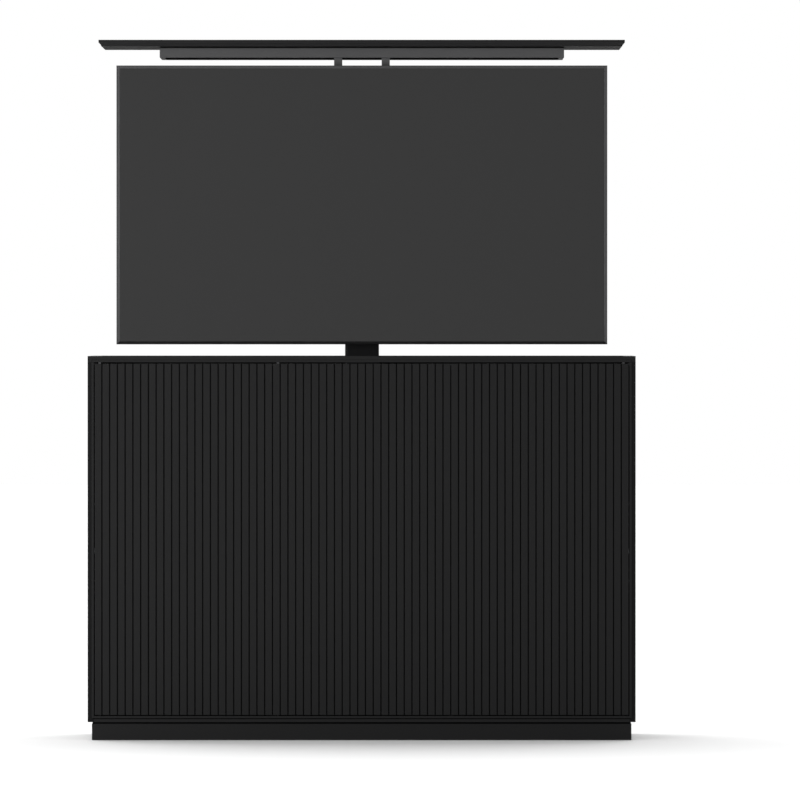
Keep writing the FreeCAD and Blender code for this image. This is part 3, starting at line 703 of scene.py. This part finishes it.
class AddFinishes(bpy.types.Operator):
    """Makes every finish and gives each CAD node the finish of its slot"""
    bl_idname = "liftcabinet.add_finishes"
    bl_label = "Finishes"

    def execute(self, context):
        colours = context.scene.lift_cabinet_colours
        axis_y = middle("outer_profile").y
        black = colours.lacquer
        LOOKS.update({
            "carcass_lacquer": lacquer("carcass lacquer", black, 0.15),
            "lid_lacquer": lacquer("lid lacquer", black, 0.05),
            "door_lacquer": lacquer("reeded lacquer", black, 0.35),
            # Down-facing faces of the lid: a darker, almost unreflecting copy of the lacquer, painted shade
            # under the lid.
            "lid_underside": lacquer("lid underside", shade(black, 0.8), 0.1, 0.003, 0.46),
            # Outer band of the front: a darker, less glossy copy of the lacquer, painted shade.
            "rim_lacquer": lacquer("rim lacquer", shade(black, 0.75), 0.15, 0.075),
            # The lid's bevel: a lighter, glossier copy of the lacquer, painted sheen where the bevel catches
            # light.
            "lid_bevel": lacquer("lid bevel", shade(black, 3.0), 0.05, 0.18),
            "bay_lacquer": lacquer("bay lacquer", shade(black, 5.5), 0.2),
            # A darker, less glossy copy of the lacquer for grooves, rebates and the lower pivots: painted
            # shade.
            "groove_lacquer": lacquer("groove lacquer", shade(black, 0.4), 0.1, 0.04),
            # Near black for the tray's rebate, inside and downward faces: painted shade.
            "tray_inside": powder_coat("tray inside", (0.003, 0.003, 0.003), specular=0.05),
            # The posts: a lighter copy of the grey coat, painted light against the shade under the tray.
            "post_coat": powder_coat("post coat", shade(colours.grey_coat, 1.63)),
            "zinc_steel": zinc("bright zinc", (0.55, 0.56, 0.58)),
            "spindle_steel": threaded_steel("spindle steel", (0.45, 0.46, 0.47), 14 * MM, axis_y),
            "dark_steel": powder_coat("dark grey powder coat", colours.grey_coat),
            "black_anodised": drawn_metal("black anodising", colours.column, 0.4, (1.0, 1.0, 0.02)),
            "nylon": moulded("black nylon", (0.012, 0.012, 0.012), 0.5, 1600),
            "bronze": turned_metal("turned bronze", (0.5, 0.33, 0.15), axis_y),
            "cast_aluminium": cast_metal("cast aluminium", (0.35, 0.36, 0.37)),
            "motor_case": powder_coat("motor paint", (0.014, 0.014, 0.015), 1300, 0.00003),
            "box_plastic": moulded("box plastic", (0.02, 0.02, 0.021), 0.55, 1500),
            "tv_frame_metal": drawn_metal("television frame", colours.tv_frame, 0.28, (0.25, 1.0, 0.25)),
            "tv_glass": screen_glass("screen glass", colours.screen),
            "tv_case": moulded("television case", colours.tv_case, 0.52, 1900, 0.00004),
            "socket_metal": drawn_metal("socket metal", (0.42, 0.42, 0.43), 0.3, (1.0, 0.2, 1.0)),
            "black_steel": zinc("blackened steel", (0.041, 0.041, 0.0425)),
            "ready_light": signal_light("ready light", (0.05, 0.6, 0.12)),
        })
        for node in frame["nodes"].values():
            node["slot"] = node.data.materials[0].name.split(".")[0]
            node.data.materials[0] = LOOKS[node["slot"]]
        return {"FINISHED"}


def add_grooved_board(node, name, sizes, special):
    """A side or the floor board, with a fine groove under the step along the floor board whose faces are
    painted darker: painted shade.
    """
    low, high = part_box("bottom_board")
    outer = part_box("front_rail")[1].x - STEP_WIDTH
    step_z = low.z + STEP_WIDTH
    band = low.y + STEP_DEPTH
    tool = block("tool", (-outer, band - 1 * MM, step_z - sizes.step_gap), (outer, band + 4 * MM, step_z))
    board = dress(node, name, sizes.board_edge, 3, special, tools=[tool])
    line_bay(board)
    # The groove's faces get the darker lacquer: painted shade.
    repaint(board, "groove_lacquer", lambda spot, normal: band + 1 * MM < spot.y < band + 4 * MM + TOUCH
            and step_z - sizes.step_gap - TOUCH < spot.z < step_z + TOUCH and abs(normal.x) < 0.5)
    return board


def add_plinth_board(side, sizes, special):
    """A rebate runs round the plinth's upper edge, deep at the front and back and fine at the sides; its
    faces are painted darker, painted shade.
    """
    low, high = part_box("plinth_front")
    high = Vector((high.x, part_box("plinth_back")[1].y, high.z))
    board = dress("plinth_" + side, "plinth_board_" + side, sizes.board_edge, 2, special,
                  tools=[edge_ring(low, high, sizes.plinth_gap, 1.5 * MM, 8 * MM)])
    # The rebate's faces get the darker lacquer: painted shade.
    repaint(board, "groove_lacquer", lambda spot, normal: spot.z > high.z - sizes.plinth_gap - TOUCH)


def line_bay(board):
    """The faces inside the bays have a greyer lacquer than the front edges and the outside."""
    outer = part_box("right_side")[1].x - 10 * MM
    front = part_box("front_rail")[0].y + 10 * MM
    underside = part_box("bottom_board")[0].z + 1 * MM
    repaint(board, "bay_lacquer", lambda spot, normal: normal.y > -0.5 and abs(spot.x) < outer
            and spot.y > front and spot.z > underside)


class AddCarcass(bpy.types.Operator):
    """Boards, mitred top frame and plinth of the cabinet"""
    bl_idname = "liftcabinet.add_carcass"
    bl_label = "Carcass"

    def execute(self, context):
        sizes = context.scene.lift_cabinet_sizes
        edge = sizes.board_edge
        frame_low, frame_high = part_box("front_rail")
        floor_low, floor_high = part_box("bottom_board")
        seam = frame_low.z
        ridge = frame_high.x + frame_low.y
        rim = STEP_WIDTH + 2 * MM

        def on_seam(spot, along):
            return abs(spot.z - seam) < TOUCH

        def on_mitre(spot, along):
            return abs(abs(spot.x) - abs(spot.y) - ridge) < TOUCH

        def on_frame_joint(spot, along):
            near_corner = abs(spot.x) > ridge or abs(spot.y) > 200 * MM
            return on_mitre(spot, along) or on_seam(spot, along) and near_corner

        def at_board_end(spot, along):
            return abs(abs(spot.x) - floor_high.x) < TOUCH

        def on_step(spot, along):
            away_from_ends = frame_low.x + 5 * MM < spot.x < frame_high.x - 5 * MM
            outer = abs(spot.x) > frame_high.x - rim or not floor_low.z + rim < spot.z < frame_high.z - rim
            return abs(spot.y - frame_low.y) < TOUCH and away_from_ends and outer

        def on_band(spot, normal):
            """A side's outer band lies a step behind the front; its faces get a darker, less glossy copy of
            the lacquer, painted shade.
            """
            return normal.y < -0.9 and abs(spot.y - frame_low.y - STEP_DEPTH) < 1 * MM

        fine = 0.15 * MM
        step = (sizes.step_edge, 4, on_step)
        side_special = [step, (fine, 1, on_seam)]
        rail_special = [step, (fine, 1, on_frame_joint)]
        for side in ("left", "right"):
            board = add_grooved_board(side + "_side", side + "_side_board", sizes, side_special)
            # The outer band gets the darker copy: painted shade.
            repaint(board, "rim_lacquer", on_band)
            dress(side + "_rail", side + "_frame_rail", edge, 3, rail_special)
            line_bay(dress(side + "_divider", side + "_divider_board", edge * 0.6))
            line_bay(dress(side + "_shelf", side + "_shelf_board", edge))
        for side in ("front", "back"):
            dress(side + "_rail", side + "_frame_rail", edge, 3, rail_special)
        for side in ("left", "right", "front", "back"):
            add_plinth_board(side, sizes, [(fine, 1, on_mitre)])
        add_grooved_board("bottom_board", "floor_board", sizes, [step, (fine, 1, at_board_end)])
        line_bay(dress("centre_shelf", "centre_shelf_board", edge))
        line_bay(dress("bay_top", "bay_top_board", edge * 0.6))
        line_bay(dress("well_partition", "partition_board", edge * 0.6))
        dress("back_panel", "rear_panel", edge * 0.4, 1)
        dress("cable_outlet", "cable_outlet_liner", 0.8 * MM)
        add_screws("rear_panel_screws", 4 * MM, border("back_panel", 12 * MM, sizes.panel_screws, 6))
        return {"FINISHED"}


def add_striker(side):
    """A thin steel plate let into the door's back where the push latch touches it."""
    spot = middle(side + "_plunger")
    spot.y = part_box(side + "_door")[1].y
    rings = in_mm([(9, -1), (9, 0.05), (8.8, 0.15), (3.4, 0.15), (2.2, -0.5)])
    plate = turned(side + "_striking_plate", rings, spot, BACK, 36)
    settle(plate, side + "_door_leaf", "zinc_steel", angle=30)


class AddDoors(bpy.types.Operator):
    """Three reeded doors with their pivots and striking plates"""
    bl_idname = "liftcabinet.add_doors"
    bl_label = "Doors"

    def execute(self, context):
        sizes = context.scene.lift_cabinet_sizes
        for side in ("left", "centre", "right"):
            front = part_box(side + "_door")[0].y
            door = dress(side + "_door", side + "_reeded_door", sizes.reed_edge, 2)
            # The faces in the reeds' grooves get the darker lacquer: painted shade.
            repaint(door, "groove_lacquer", lambda spot, normal: 0.7 * MM < spot.y - front < 5.5 * MM)
            add_striker(side)
        pivots = dress("door_pivots", "pivot_hinges", 0.3 * MM, look="black_steel")
        # The lower pivots get the dark groove lacquer, so they show no glint: painted shade in the gap under
        # the doors.
        halfway = middle("left_door").z
        repaint(pivots, "groove_lacquer", lambda spot, normal: spot.z < halfway)
        return {"FINISHED"}


def add_pin_sleeves(pin_rows):
    """Rows of flanged sleeves in the bay walls, where a shelf could be moved to."""
    low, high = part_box("centre_shelf")
    pitch = 32 * MM
    heights = []
    for index in range(pin_rows):
        heights += [low.z - (index + 2) * pitch, high.z + (index + 1.5) * pitch]
    depths = [low.y + share * (high.y - low.y) for share in (0.19, 0.81)]
    walls = [(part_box("left_side")[1].x, RIGHT)]
    for node in ("left_divider", "right_divider"):
        walls += [(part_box(node)[0].x, LEFT), (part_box(node)[1].x, RIGHT)]
    walls.append((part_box("right_side")[0].x, LEFT))
    places = []
    for x, along in walls:
        places += grid([x], depths, heights, along)
    rings = in_mm([(2.6, -1), (4.0, 0), (4.0, 0.3), (3.6, 0.6), (2.5, 0.6), (2.4, -0.6)])
    sleeves = scattered(turned("sleeve", rings, sides=16), "shelf_pin_sleeves", places)
    settle(sleeves, "cabinet", "zinc_steel", angle=40)


def add_latch_parts(side):
    """The plunger with its magnet cup and rubber tip, and the collar that it comes out of."""
    low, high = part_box(side + "_plunger")
    radius = (high.x - low.x) / 2 / MM
    length = (high.y - low.y) / MM
    foot = middle(side + "_plunger")
    foot.y = low.y
    rings = in_mm([(0.55 * radius, 0), (0.85 * radius, 0.1), (radius, 0.5), (radius, 2.2),
                   (0.86 * radius, 2.5), (0.86 * radius, 3.1), (radius, 3.4), (radius, length - 0.5),
                   (0.8 * radius, length)])
    stand_for(turned(side + "_latch_plunger", rings, foot, BACK, 28), side + "_plunger", angle=35)
    foot.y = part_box("latch_bodies")[0].y
    inner = radius + 0.25
    rings = in_mm([(inner, 0.4), (inner, -0.7), (inner + 0.4, -1), (5.4, -1), (6, -0.5), (6, 0.4)])
    collar = turned(side + "_latch_collar", rings, foot, BACK, 32, hollow=True)
    settle(collar, "cabinet", "nylon", angle=35)


class AddBayFittings(bpy.types.Operator):
    """Shelf supports, pin sleeves, push latches and their plungers"""
    bl_idname = "liftcabinet.add_bay_fittings"
    bl_label = "Bay fittings"

    def execute(self, context):
        dress("shelf_supports", "shelf_angles", 0.35 * MM, 1)
        dress("latch_bodies", "latch_housings", 0.5 * MM)
        add_pin_sleeves(context.scene.lift_cabinet_sizes.pin_rows)
        for side in ("left", "centre", "right"):
            add_latch_parts(side)
        return {"FINISHED"}


def add_tray(sizes):
    """A folded sheet with round bends and a rebate under the lid. The rebate, the inside and the downward
    faces are painted near black: painted shade.
    """
    low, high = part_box("lid_tray")
    tray = traced("lid_tray", "folded_tray")
    skin = 1 * MM
    wall = 8 * MM

    def on_outside(spot, along):
        """Where two of the tray's outer faces meet."""
        at_x = min(abs(spot.x - low.x), abs(spot.x - high.x)) < TOUCH
        at_y = min(abs(spot.y - low.y), abs(spot.y - high.y)) < TOUCH
        at_z = abs(spot.z - low.z) < TOUCH
        return at_x + at_y + at_z > 1

    def is_within(spot, margin):
        return abs(spot.x) < high.x - margin and low.y + margin < spot.y < high.y - margin

    # Faces in the rebate, inside the tray or facing down get painted shade.
    def in_painted_shade(spot, normal):
        floor = low.z if is_within(spot, wall) else low.z + skin
        inside = is_within(spot, skin) and floor < spot.z < high.z - skin
        return normal.z < -0.7 or spot.z > high.z - sizes.tray_gap - TOUCH or inside

    ease(tray, sizes.sheet_bend, 4, on_outside, 60)
    ease(tray, 0.4 * MM, 1, lambda spot, along: abs(spot.z - low.z) < 2.5 * MM, 60)
    cut(tray, edge_ring(low, high, sizes.tray_gap, skin, skin))
    stand_for(tray, "lid_tray")
    repaint(tray, "tray_inside", in_painted_shade)


class AddLid(bpy.types.Operator):
    """The lid, the folded tray that carries it and the two posts"""
    bl_idname = "liftcabinet.add_lid"
    bl_label = "Lid and tray"

    def execute(self, context):
        sizes = context.scene.lift_cabinet_sizes
        lid = dress("lid", "bevelled_lid", sizes.lid_edge, 3)
        # The underside faces get a darker, almost unreflecting copy of the lacquer: painted shade.
        repaint(lid, "lid_underside", lambda spot, normal: normal.z < -0.9)
        # The bevel faces, picked by their downward tilt, get the lighter copy: painted sheen.
        repaint(lid, "lid_bevel", lambda spot, normal: -0.9 <= normal.z < -0.3)
        add_tray(sizes)
        # The posts get the lighter copy of the grey coat: painted light.
        dress("lid_posts", "tray_posts", sizes.metal_edge, look="post_coat")
        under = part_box("lid_tray")[1].z - 2 * MM
        reach = 500 * MM
        places = grid(spread(-reach, reach, 5), (-10 * MM, 150 * MM), [under], DOWN)
        add_screws("tray_screws", 4.5 * MM, places, "tv_carriage")
        return {"FINISHED"}


def add_frame():
    """The sloped frame, almost flat along the top and with a flatter slope along the bottom."""
    low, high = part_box("tv_bezel")
    slope = 7 * MM
    foot = low.y + 6 * MM
    moves = (
        (lambda spot: high.z - spot.z < TOUCH and abs(spot.y - foot) < TOUCH, (0, -5.4 * MM, 0)),
        (lambda spot: abs(spot.z - low.z - slope) < TOUCH and spot.y - low.y < TOUCH, (0, 0, 1.4 * MM)),
        (lambda spot: spot.z - low.z < TOUCH and abs(spot.y - foot) < TOUCH, (0, -3.4 * MM, 0)),
    )
    piece = traced("tv_bezel", "television_frame")
    with Bench(piece) as bench:
        bench.faces(lambda spot, normal: abs(normal.x) > 0.5)
        bpy.ops.mesh.bisect(plane_co=(0, 0, high.z - slope), plane_no=UP)
        for test, move in moves:
            bench.points(test)
            bpy.ops.transform.translate(value=move)
    ease(piece, 0.25 * MM)
    stand_for(piece, "tv_bezel")


def add_rear_cover():
    """The raised cover, with speaker slots and two recesses cut into it."""
    low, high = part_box("tv_rear_cover")
    cover = traced("tv_rear_cover", "television_rear_cover")
    foot = low.z + 62 * MM
    inner = 232 * MM
    width = 4 * MM
    pitch = 9 * MM
    slots = 21
    for x in (-inner - (slots - 1) * pitch - width, inner):
        tool = block("tool", (x, high.y - 4 * MM, foot), (x + width, high.y + 1 * MM, foot + 36 * MM))
        ease(tool, 1.9 * MM, 3, along_depth)
        modify(tool, "ARRAY", count=slots, use_relative_offset=False, use_constant_offset=True,
               constant_offset_displace=(pitch, 0, 0))
        cut(cover, tool)
    for x0, x1, z0, z1 in recesses():
        tool = block("tool", (x0, high.y - 20 * MM, z0), (x1, high.y + 1 * MM, z1))
        ease(tool, 3 * MM, 3, along_depth)
        cut(cover, tool)
    ease(cover, 0.7 * MM, 2, least=30)
    stand_for(cover, "tv_rear_cover")


def recesses():
    """Left, right, bottom and top of the connector bay and of the inlet's recess."""
    z = middle("tv_rear_cover").z
    return [(0.312, 0.372, z - 0.125, z + 0.065), (-0.386, -0.326, z - 0.105, z - 0.055)]


def add_connectors():
    """Two lined recesses with the sockets, the aerial socket and the power inlet in them."""
    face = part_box("tv_rear_cover")[1].y
    depth = 16 * MM
    shells = []
    for x0, x1, z0, z1 in recesses():
        shell = block("recess", (x0 - 1 * MM, face - depth, z0 - 1 * MM),
                      (x1 + 1 * MM, face - 0.6 * MM, z1 + 1 * MM))
        with Bench(shell) as bench:
            bench.facing(BACK)
            bpy.ops.mesh.inset(thickness=1.6 * MM)
            bench.extrude(0, -depth + 2.5 * MM, 0)
        ease(shell, 0.5 * MM, 2)
        shells.append(shell)
    settle(joined("connector_bays", *shells), "tv_carriage", "tv_case")
    floor = face - depth + 1.4 * MM
    (left, right, bottom, top), inlet = recesses()
    x = (left + right) / 2
    first = top - 18 * MM
    groups = (
        ("video_sockets", (15, 6, 6, 0.7), [first - index * 24 * MM for index in range(4)]),
        ("data_sockets", (13.5, 7, 6, 0.8), [first - 96 * MM - index * 16 * MM for index in range(2)]),
        ("network_socket", (15, 13, 6, 1.2), [bottom + 20 * MM]),
    )
    for name, size, heights in groups:
        ports = scattered(socket("port", *size), name, grid([x], [floor], heights, BACK))
        settle(ports, "tv_carriage", "zinc_steel", "socket_metal")
    rings = in_mm([(5.5, 0), (5.5, 1.5), (4.7, 1.8), (4.7, 9.5), (4.3, 10), (3.4, 10), (3.2, 4), (1.0, 4),
                   (0.8, 8)])
    aerial = turned("aerial_socket", rings, (x + 15 * MM, floor, bottom + 14 * MM), BACK, 28)
    settle(aerial, "tv_carriage", "zinc_steel", "socket_metal", 35)
    x = (inlet[0] + inlet[1]) / 2
    z = (inlet[2] + inlet[3]) / 2
    power = scattered(socket("port", 24, 16, 9, 2, tongue=False), "power_inlet", [((x, floor, z), BACK)])
    settle(power, "tv_carriage", "tv_case")
    pin = turned("pin", in_mm([(1.2, 0), (1.2, 6.5), (0.8, 7)]), sides=16)
    pins = scattered(pin, "inlet_pins", grid((x - 4.2 * MM, x + 4.2 * MM), [floor + 1 * MM], [z], BACK))
    settle(pins, "tv_carriage", "zinc_steel", angle=35)


class AddTelevision(bpy.types.Operator):
    """Frame, screen and rear shell of the television, with its vents and connectors"""
    bl_idname = "liftcabinet.add_television"
    bl_label = "Television"

    def execute(self, context):
        add_frame()
        dress("tv_screen", "television_screen", 0.4 * MM)
        dress("tv_pan", "television_back", 1.2 * MM)
        add_rear_cover()
        add_connectors()
        low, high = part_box("tv_rear_cover")
        inset = 48 * MM
        inner = 290 * MM
        xs = (low.x + inset, -inner, inner, high.x - inset)
        places = grid(xs, [high.y], (low.z + inset, high.z - inset), BACK) + border("tv_pan", 26 * MM, 7, 5)
        add_screws("television_screws", 3.2 * MM, places, "tv_carriage", "black_steel")
        return {"FINISHED"}


def add_bolts(radius):
    """Hexagon bolts through the bracket's plate and through the rails behind the crossbars."""
    low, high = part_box("crossbars")
    inset = 20 * MM
    plate_x = 118 * MM
    rail_x = 200 * MM
    zs = (low.z + inset, high.z - inset)
    places = grid((-plate_x, plate_x), [high.y + BRACKET_PLATE], zs, BACK)
    places += grid((-rail_x, rail_x), [high.y], zs, BACK)
    settle(scattered(hexagon_bolt(radius), "bracket_bolts", places), "tv_carriage", "zinc_steel", angle=30)


def add_welds():
    """Beads along the bracket's gussets and flange, and where the rails and posts meet the crossbars."""
    low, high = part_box("crossbars")
    back = high.y + BRACKET_PLATE
    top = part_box("lift_bracket")[1]
    flange = top.z - 6 * MM
    beads = []
    for inner, outer in ((-64 * MM, -68 * MM), (64 * MM, 68 * MM)):
        for x in (inner, outer):
            beads.append(weld((x, back, flange - 58 * MM), (x, back, flange - 2 * MM), 2 * MM))
        beads.append(weld((outer, back + 2 * MM, flange), (outer, top.y - 4 * MM, flange), 1.8 * MM))
    for x, half in ((-35 * MM, 27 * MM), (35 * MM, 27 * MM)):
        beads.append(weld((x - half, back, flange), (x + half, back, flange), 1.8 * MM))
    for z in (low.z, low.z + 40 * MM, high.z - 40 * MM, high.z):
        for x, half in ((-200 * MM, 14 * MM), (200 * MM, 14 * MM), (-70 * MM, 10 * MM), (70 * MM, 10 * MM)):
            beads.append(weld((x - half, low.y, z), (x + half, low.y, z), 1.6 * MM))
    settle(joined("weld_beads", *beads), "tv_carriage", "dark_steel", angle=70)


class AddCarrier(bpy.types.Operator):
    """Rails, crossbars and welded bracket that carry the television on the column"""
    bl_idname = "liftcabinet.add_carrier"
    bl_label = "Carrier frame"

    def execute(self, context):
        edge = context.scene.lift_cabinet_sizes.metal_edge
        dress("tv_rails", "mounting_rails", edge)
        dress("crossbars", "flat_crossbars", edge)
        dress("lift_bracket", "welded_bracket", edge)
        dress("tv_bolts", "mounting_bolts", 0.4 * MM, 1)
        low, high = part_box("tv_bolts")
        head = 7 * MM
        flat = math.sqrt(3) / 2 * head
        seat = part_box("tv_rails")[0].y + 3 * MM
        places = grid((low.x + head, high.x - head), [seat], (low.z + flat, high.z - flat), BACK)
        rings = scattered(washer(5 * MM, 10.5 * MM, 1.2 * MM), "mounting_washers", places)
        settle(rings, "tv_carriage", "zinc_steel", angle=40)
        add_bolts(head)
        add_welds()
        return {"FINISHED"}


class AddColumn(bpy.types.Operator):
    """Three nested profiles of the telescopic column with their collars"""
    bl_idname = "liftcabinet.add_column"
    bl_label = "Telescopic column"

    def execute(self, context):
        for stage in ("outer", "middle", "inner"):
            dress(stage + "_profile", stage + "_tube", 0.4 * MM, 1)
        for stage in ("outer", "middle"):
            dress(stage + "_collar", stage + "_guide_collar", 0.5 * MM)
        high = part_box("outer_profile")[1]
        add_screws("collar_screws", 3.5 * MM, grid((-30 * MM, 30 * MM), [high.y], [high.z - 20 * MM], BACK))
        return {"FINISHED"}


def add_motor(grooves):
    """A finned can with a stepped end cap. All sizes are in millimetres."""
    low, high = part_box("drive_motor")
    radius = (high.x - low.x) / 2 / MM
    height = (high.z - low.z) / MM
    rings = [(22, 0), (22, 9.5), (radius - 1, 10), (radius, 11), (radius, 24)]
    first = 30
    pitch = (height - first - 34) / grooves
    for index in range(grooves):
        z = first + index * pitch
        rings += [(radius, z), (radius - 1.6, z + 0.8), (radius - 1.6, z + pitch - 4.2),
                  (radius, z + pitch - 3.4)]
    cap = height - 22
    rings += [(radius, cap), (radius - 1, cap + 0.6), (radius - 1, cap + 1.6), (radius, cap + 2.2),
              (radius, height - 4), (radius - 1.2, height - 1.2), (radius - 4, height), (12, height),
              (11, height - 1.5)]
    foot = middle("drive_motor")
    foot.z = low.z
    stand_for(turned("motor_can", in_mm(rings), foot, UP, 64), "drive_motor", angle=35)
    reach = 19 * MM
    places = []
    for angle in (math.radians(30), math.radians(150), math.radians(270)):
        places.append(((foot.x + reach * math.cos(angle), foot.y + reach * math.sin(angle), high.z), UP))
    add_screws("motor_screws", 2.8 * MM, places)


def add_control_details():
    """Corner screws, three round sockets and the ready light."""
    low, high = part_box("control_box")
    inset = 12 * MM
    corners = grid((low.x + inset, high.x - inset), (low.y + inset, high.y - inset), [high.z], UP)
    add_screws("control_unit_screws", 3 * MM, corners, look="black_steel")
    port = turned("port", in_mm([(8, -0.5), (8, 1), (7.4, 1.6), (6, 1.6), (5.8, -0.2)]))
    depths = [low.y + 15 * MM + index * 20 * MM for index in range(3)]
    sockets = scattered(port, "control_sockets", grid([high.x], depths, [(low.z + high.z) / 2], RIGHT))
    settle(sockets, "cabinet", "nylon", angle=35)
    rings = in_mm([(2.2, -0.5), (2.2, 0.6), (1.7, 1.1), (0.8, 1.4)])
    lens = turned("ready_lamp", rings, (high.x - 34 * MM, low.y + 14 * MM, high.z), UP, 20)
    settle(lens, "cabinet", "box_plastic", "ready_light", 60)


class AddDrive(bpy.types.Operator):
    """Base plate, gearbox, motor and control box at the foot of the column"""
    bl_idname = "liftcabinet.add_drive"
    bl_label = "Drive"

    def execute(self, context):
        dress("base_plate", "foot_base_plate", 0.8 * MM)
        dress("gearbox", "gearbox_housing", 1.2 * MM, 3)
        dress("base_bolts", "floor_bolts", 0.4 * MM, 1)
        dress("control_box", "control_unit", 0.6 * MM)
        dress("supply_gland", "supply_entry", 0.5 * MM)
        add_motor(context.scene.lift_cabinet_sizes.motor_grooves)
        low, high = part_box("gearbox")
        inset = 13 * MM
        places = grid([high.x - inset], (low.y + inset, high.y - inset), [high.z], UP)
        places += grid((low.x + 18 * MM, low.x + 75 * MM, high.x - 18 * MM), [low.y],
                       (low.z + 10 * MM, high.z - 10 * MM), FRONT)
        add_screws("gearbox_screws", 3.5 * MM, places)
        add_control_details()
        return {"FINISHED"}


def add_camera(scene):
    """A long lens far away, because the photograph shows almost no perspective."""
    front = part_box("front_rail")[0].y
    distance = 28.0
    seen_width = 2.3353
    eye = Vector((0.112, front - distance, 1.207))
    target = Vector((0.112, front, 0.9938))
    bpy.ops.object.camera_add(location=eye, rotation=turn_to(target - eye, "-Z"))
    camera = bpy.context.active_object
    camera.name = "camera"
    camera.data.sensor_width = 36.0
    camera.data.lens = camera.data.sensor_width * distance / seen_width
    camera.data.clip_start = 0.5
    camera.data.clip_end = 200.0
    scene.camera = camera


def add_floor():
    """Pale where it is seen or mirrored, and throwing back little light, as the undersides are dark."""
    bpy.ops.object.select_all(action="DESELECT")
    bpy.ops.mesh.primitive_plane_add(size=90.0, location=(0, 0, 0))
    floor = start("studio_floor")
    material = bpy.data.materials.new("floor paint")
    nodes = Nodes(material)
    seen = seen_rays(nodes)
    diffuse = nodes.node("ShaderNodeBsdfDiffuse", sockets={"Color": 0.3 + seen * 0.6})
    glow = nodes.node("ShaderNodeEmission", sockets={"Strength": seen * 0.03})
    both = nodes.node("ShaderNodeAddShader", sockets={0: diffuse, 1: glow})
    nodes.node("ShaderNodeOutputMaterial", sockets={"Surface": both})
    floor.data.materials.append(material)


def seen_rays(nodes):
    """1 for what the camera sees straight on, mirrored or through glass."""
    seen, glossy, through = (nodes.node("ShaderNodeLightPath", output="Is %s Ray" % kind)
                             for kind in ("Camera", "Glossy", "Transmission"))
    return seen.larger(glossy).larger(through)


def light_world(scene):
    """White where the camera, gloss and glass look, and a plain soft level for the rest."""
    scene.world = bpy.data.worlds.new("studio")
    nodes = Nodes(scene.world)
    white = seen_rays(nodes)
    level = white + (1 - white) * 0.42
    sky = nodes.node("ShaderNodeBackground", sockets={"Color": (1, 1, 1, 1), "Strength": level})
    nodes.node("ShaderNodeOutputWorld", sockets={"Surface": sky})


def add_overhead():
    """Wide soft light from above and behind on the left, which throws the shadow forwards and right."""
    toward = Vector((-0.12, 0.6, 1.0))
    bpy.ops.object.light_add(type="SUN", location=toward * 6, rotation=turn_to(toward))
    sun = bpy.context.active_object
    sun.name = "overhead light"
    sun.data.energy = 2.9
    sun.data.angle = math.radians(70)


def add_lamp(name, place, target, size, power):
    aim = turn_to(Vector(target) - Vector(place), "-Z")
    bpy.ops.object.light_add(type="AREA", radius=size, location=place, rotation=aim)
    lamp = bpy.context.active_object
    lamp.name = name
    lamp.data.size = size
    lamp.data.energy = power


class SetStage(bpy.types.Operator):
    """White floor, soft studio light and the camera at the photograph's angle"""
    bl_idname = "liftcabinet.set_stage"
    bl_label = "Stage"

    def execute(self, context):
        scene = context.scene
        scene.view_settings.view_transform = "Standard"
        add_camera(scene)
        add_floor()
        light_world(scene)
        add_lamp("key lamp", (-3.2, -6.0, 1.25), (0, 0, 1.1), 2.4, 190)
        add_lamp("fill lamp", (4.2, -5.5, 1.4), (0, 0, 1.2), 2.0, 40)
        add_overhead()
        return {"FINISHED"}


class LiftCabinetPanel(bpy.types.Panel):
    """Settings and operators of the lift cabinet"""
    bl_idname = "VIEW3D_PT_lift_cabinet"
    bl_label = "Lift Cabinet"
    bl_space_type = "VIEW_3D"
    bl_region_type = "UI"
    bl_category = "Lift Cabinet"

    def draw(self, context):
        for settings in (context.scene.lift_cabinet_sizes, context.scene.lift_cabinet_colours):
            column = self.layout.column()
            for name in settings.__annotations__:
                column.prop(settings, name)
        for step in STEPS:
            self.layout.operator(step.bl_idname)


STEPS = (AddFinishes, AddCarcass, AddDoors, AddBayFittings, AddLid, AddTelevision, AddCarrier, AddColumn,
         AddDrive, SetStage)
CLASSES = (LiftCabinetSizes, LiftCabinetColours) + STEPS + (LiftCabinetPanel,)


def register():
    for item in CLASSES:
        bpy.utils.register_class(item)
    bpy.types.Scene.lift_cabinet_sizes = PointerProperty(type=LiftCabinetSizes)
    bpy.types.Scene.lift_cabinet_colours = PointerProperty(type=LiftCabinetColours)


def unregister():
    del bpy.types.Scene.lift_cabinet_colours
    del bpy.types.Scene.lift_cabinet_sizes
    for item in reversed(CLASSES):
        bpy.utils.unregister_class(item)


def main():
    register()
    bpy.ops.liftcabinet.add_finishes()
    bpy.ops.liftcabinet.add_carcass()
    bpy.ops.liftcabinet.add_doors()
    bpy.ops.liftcabinet.add_bay_fittings()
    bpy.ops.liftcabinet.add_lid()
    bpy.ops.liftcabinet.add_television()
    bpy.ops.liftcabinet.add_carrier()
    bpy.ops.liftcabinet.add_column()
    bpy.ops.liftcabinet.add_drive()
    bpy.ops.liftcabinet.set_stage()


if __name__ == "__main__":
    main()
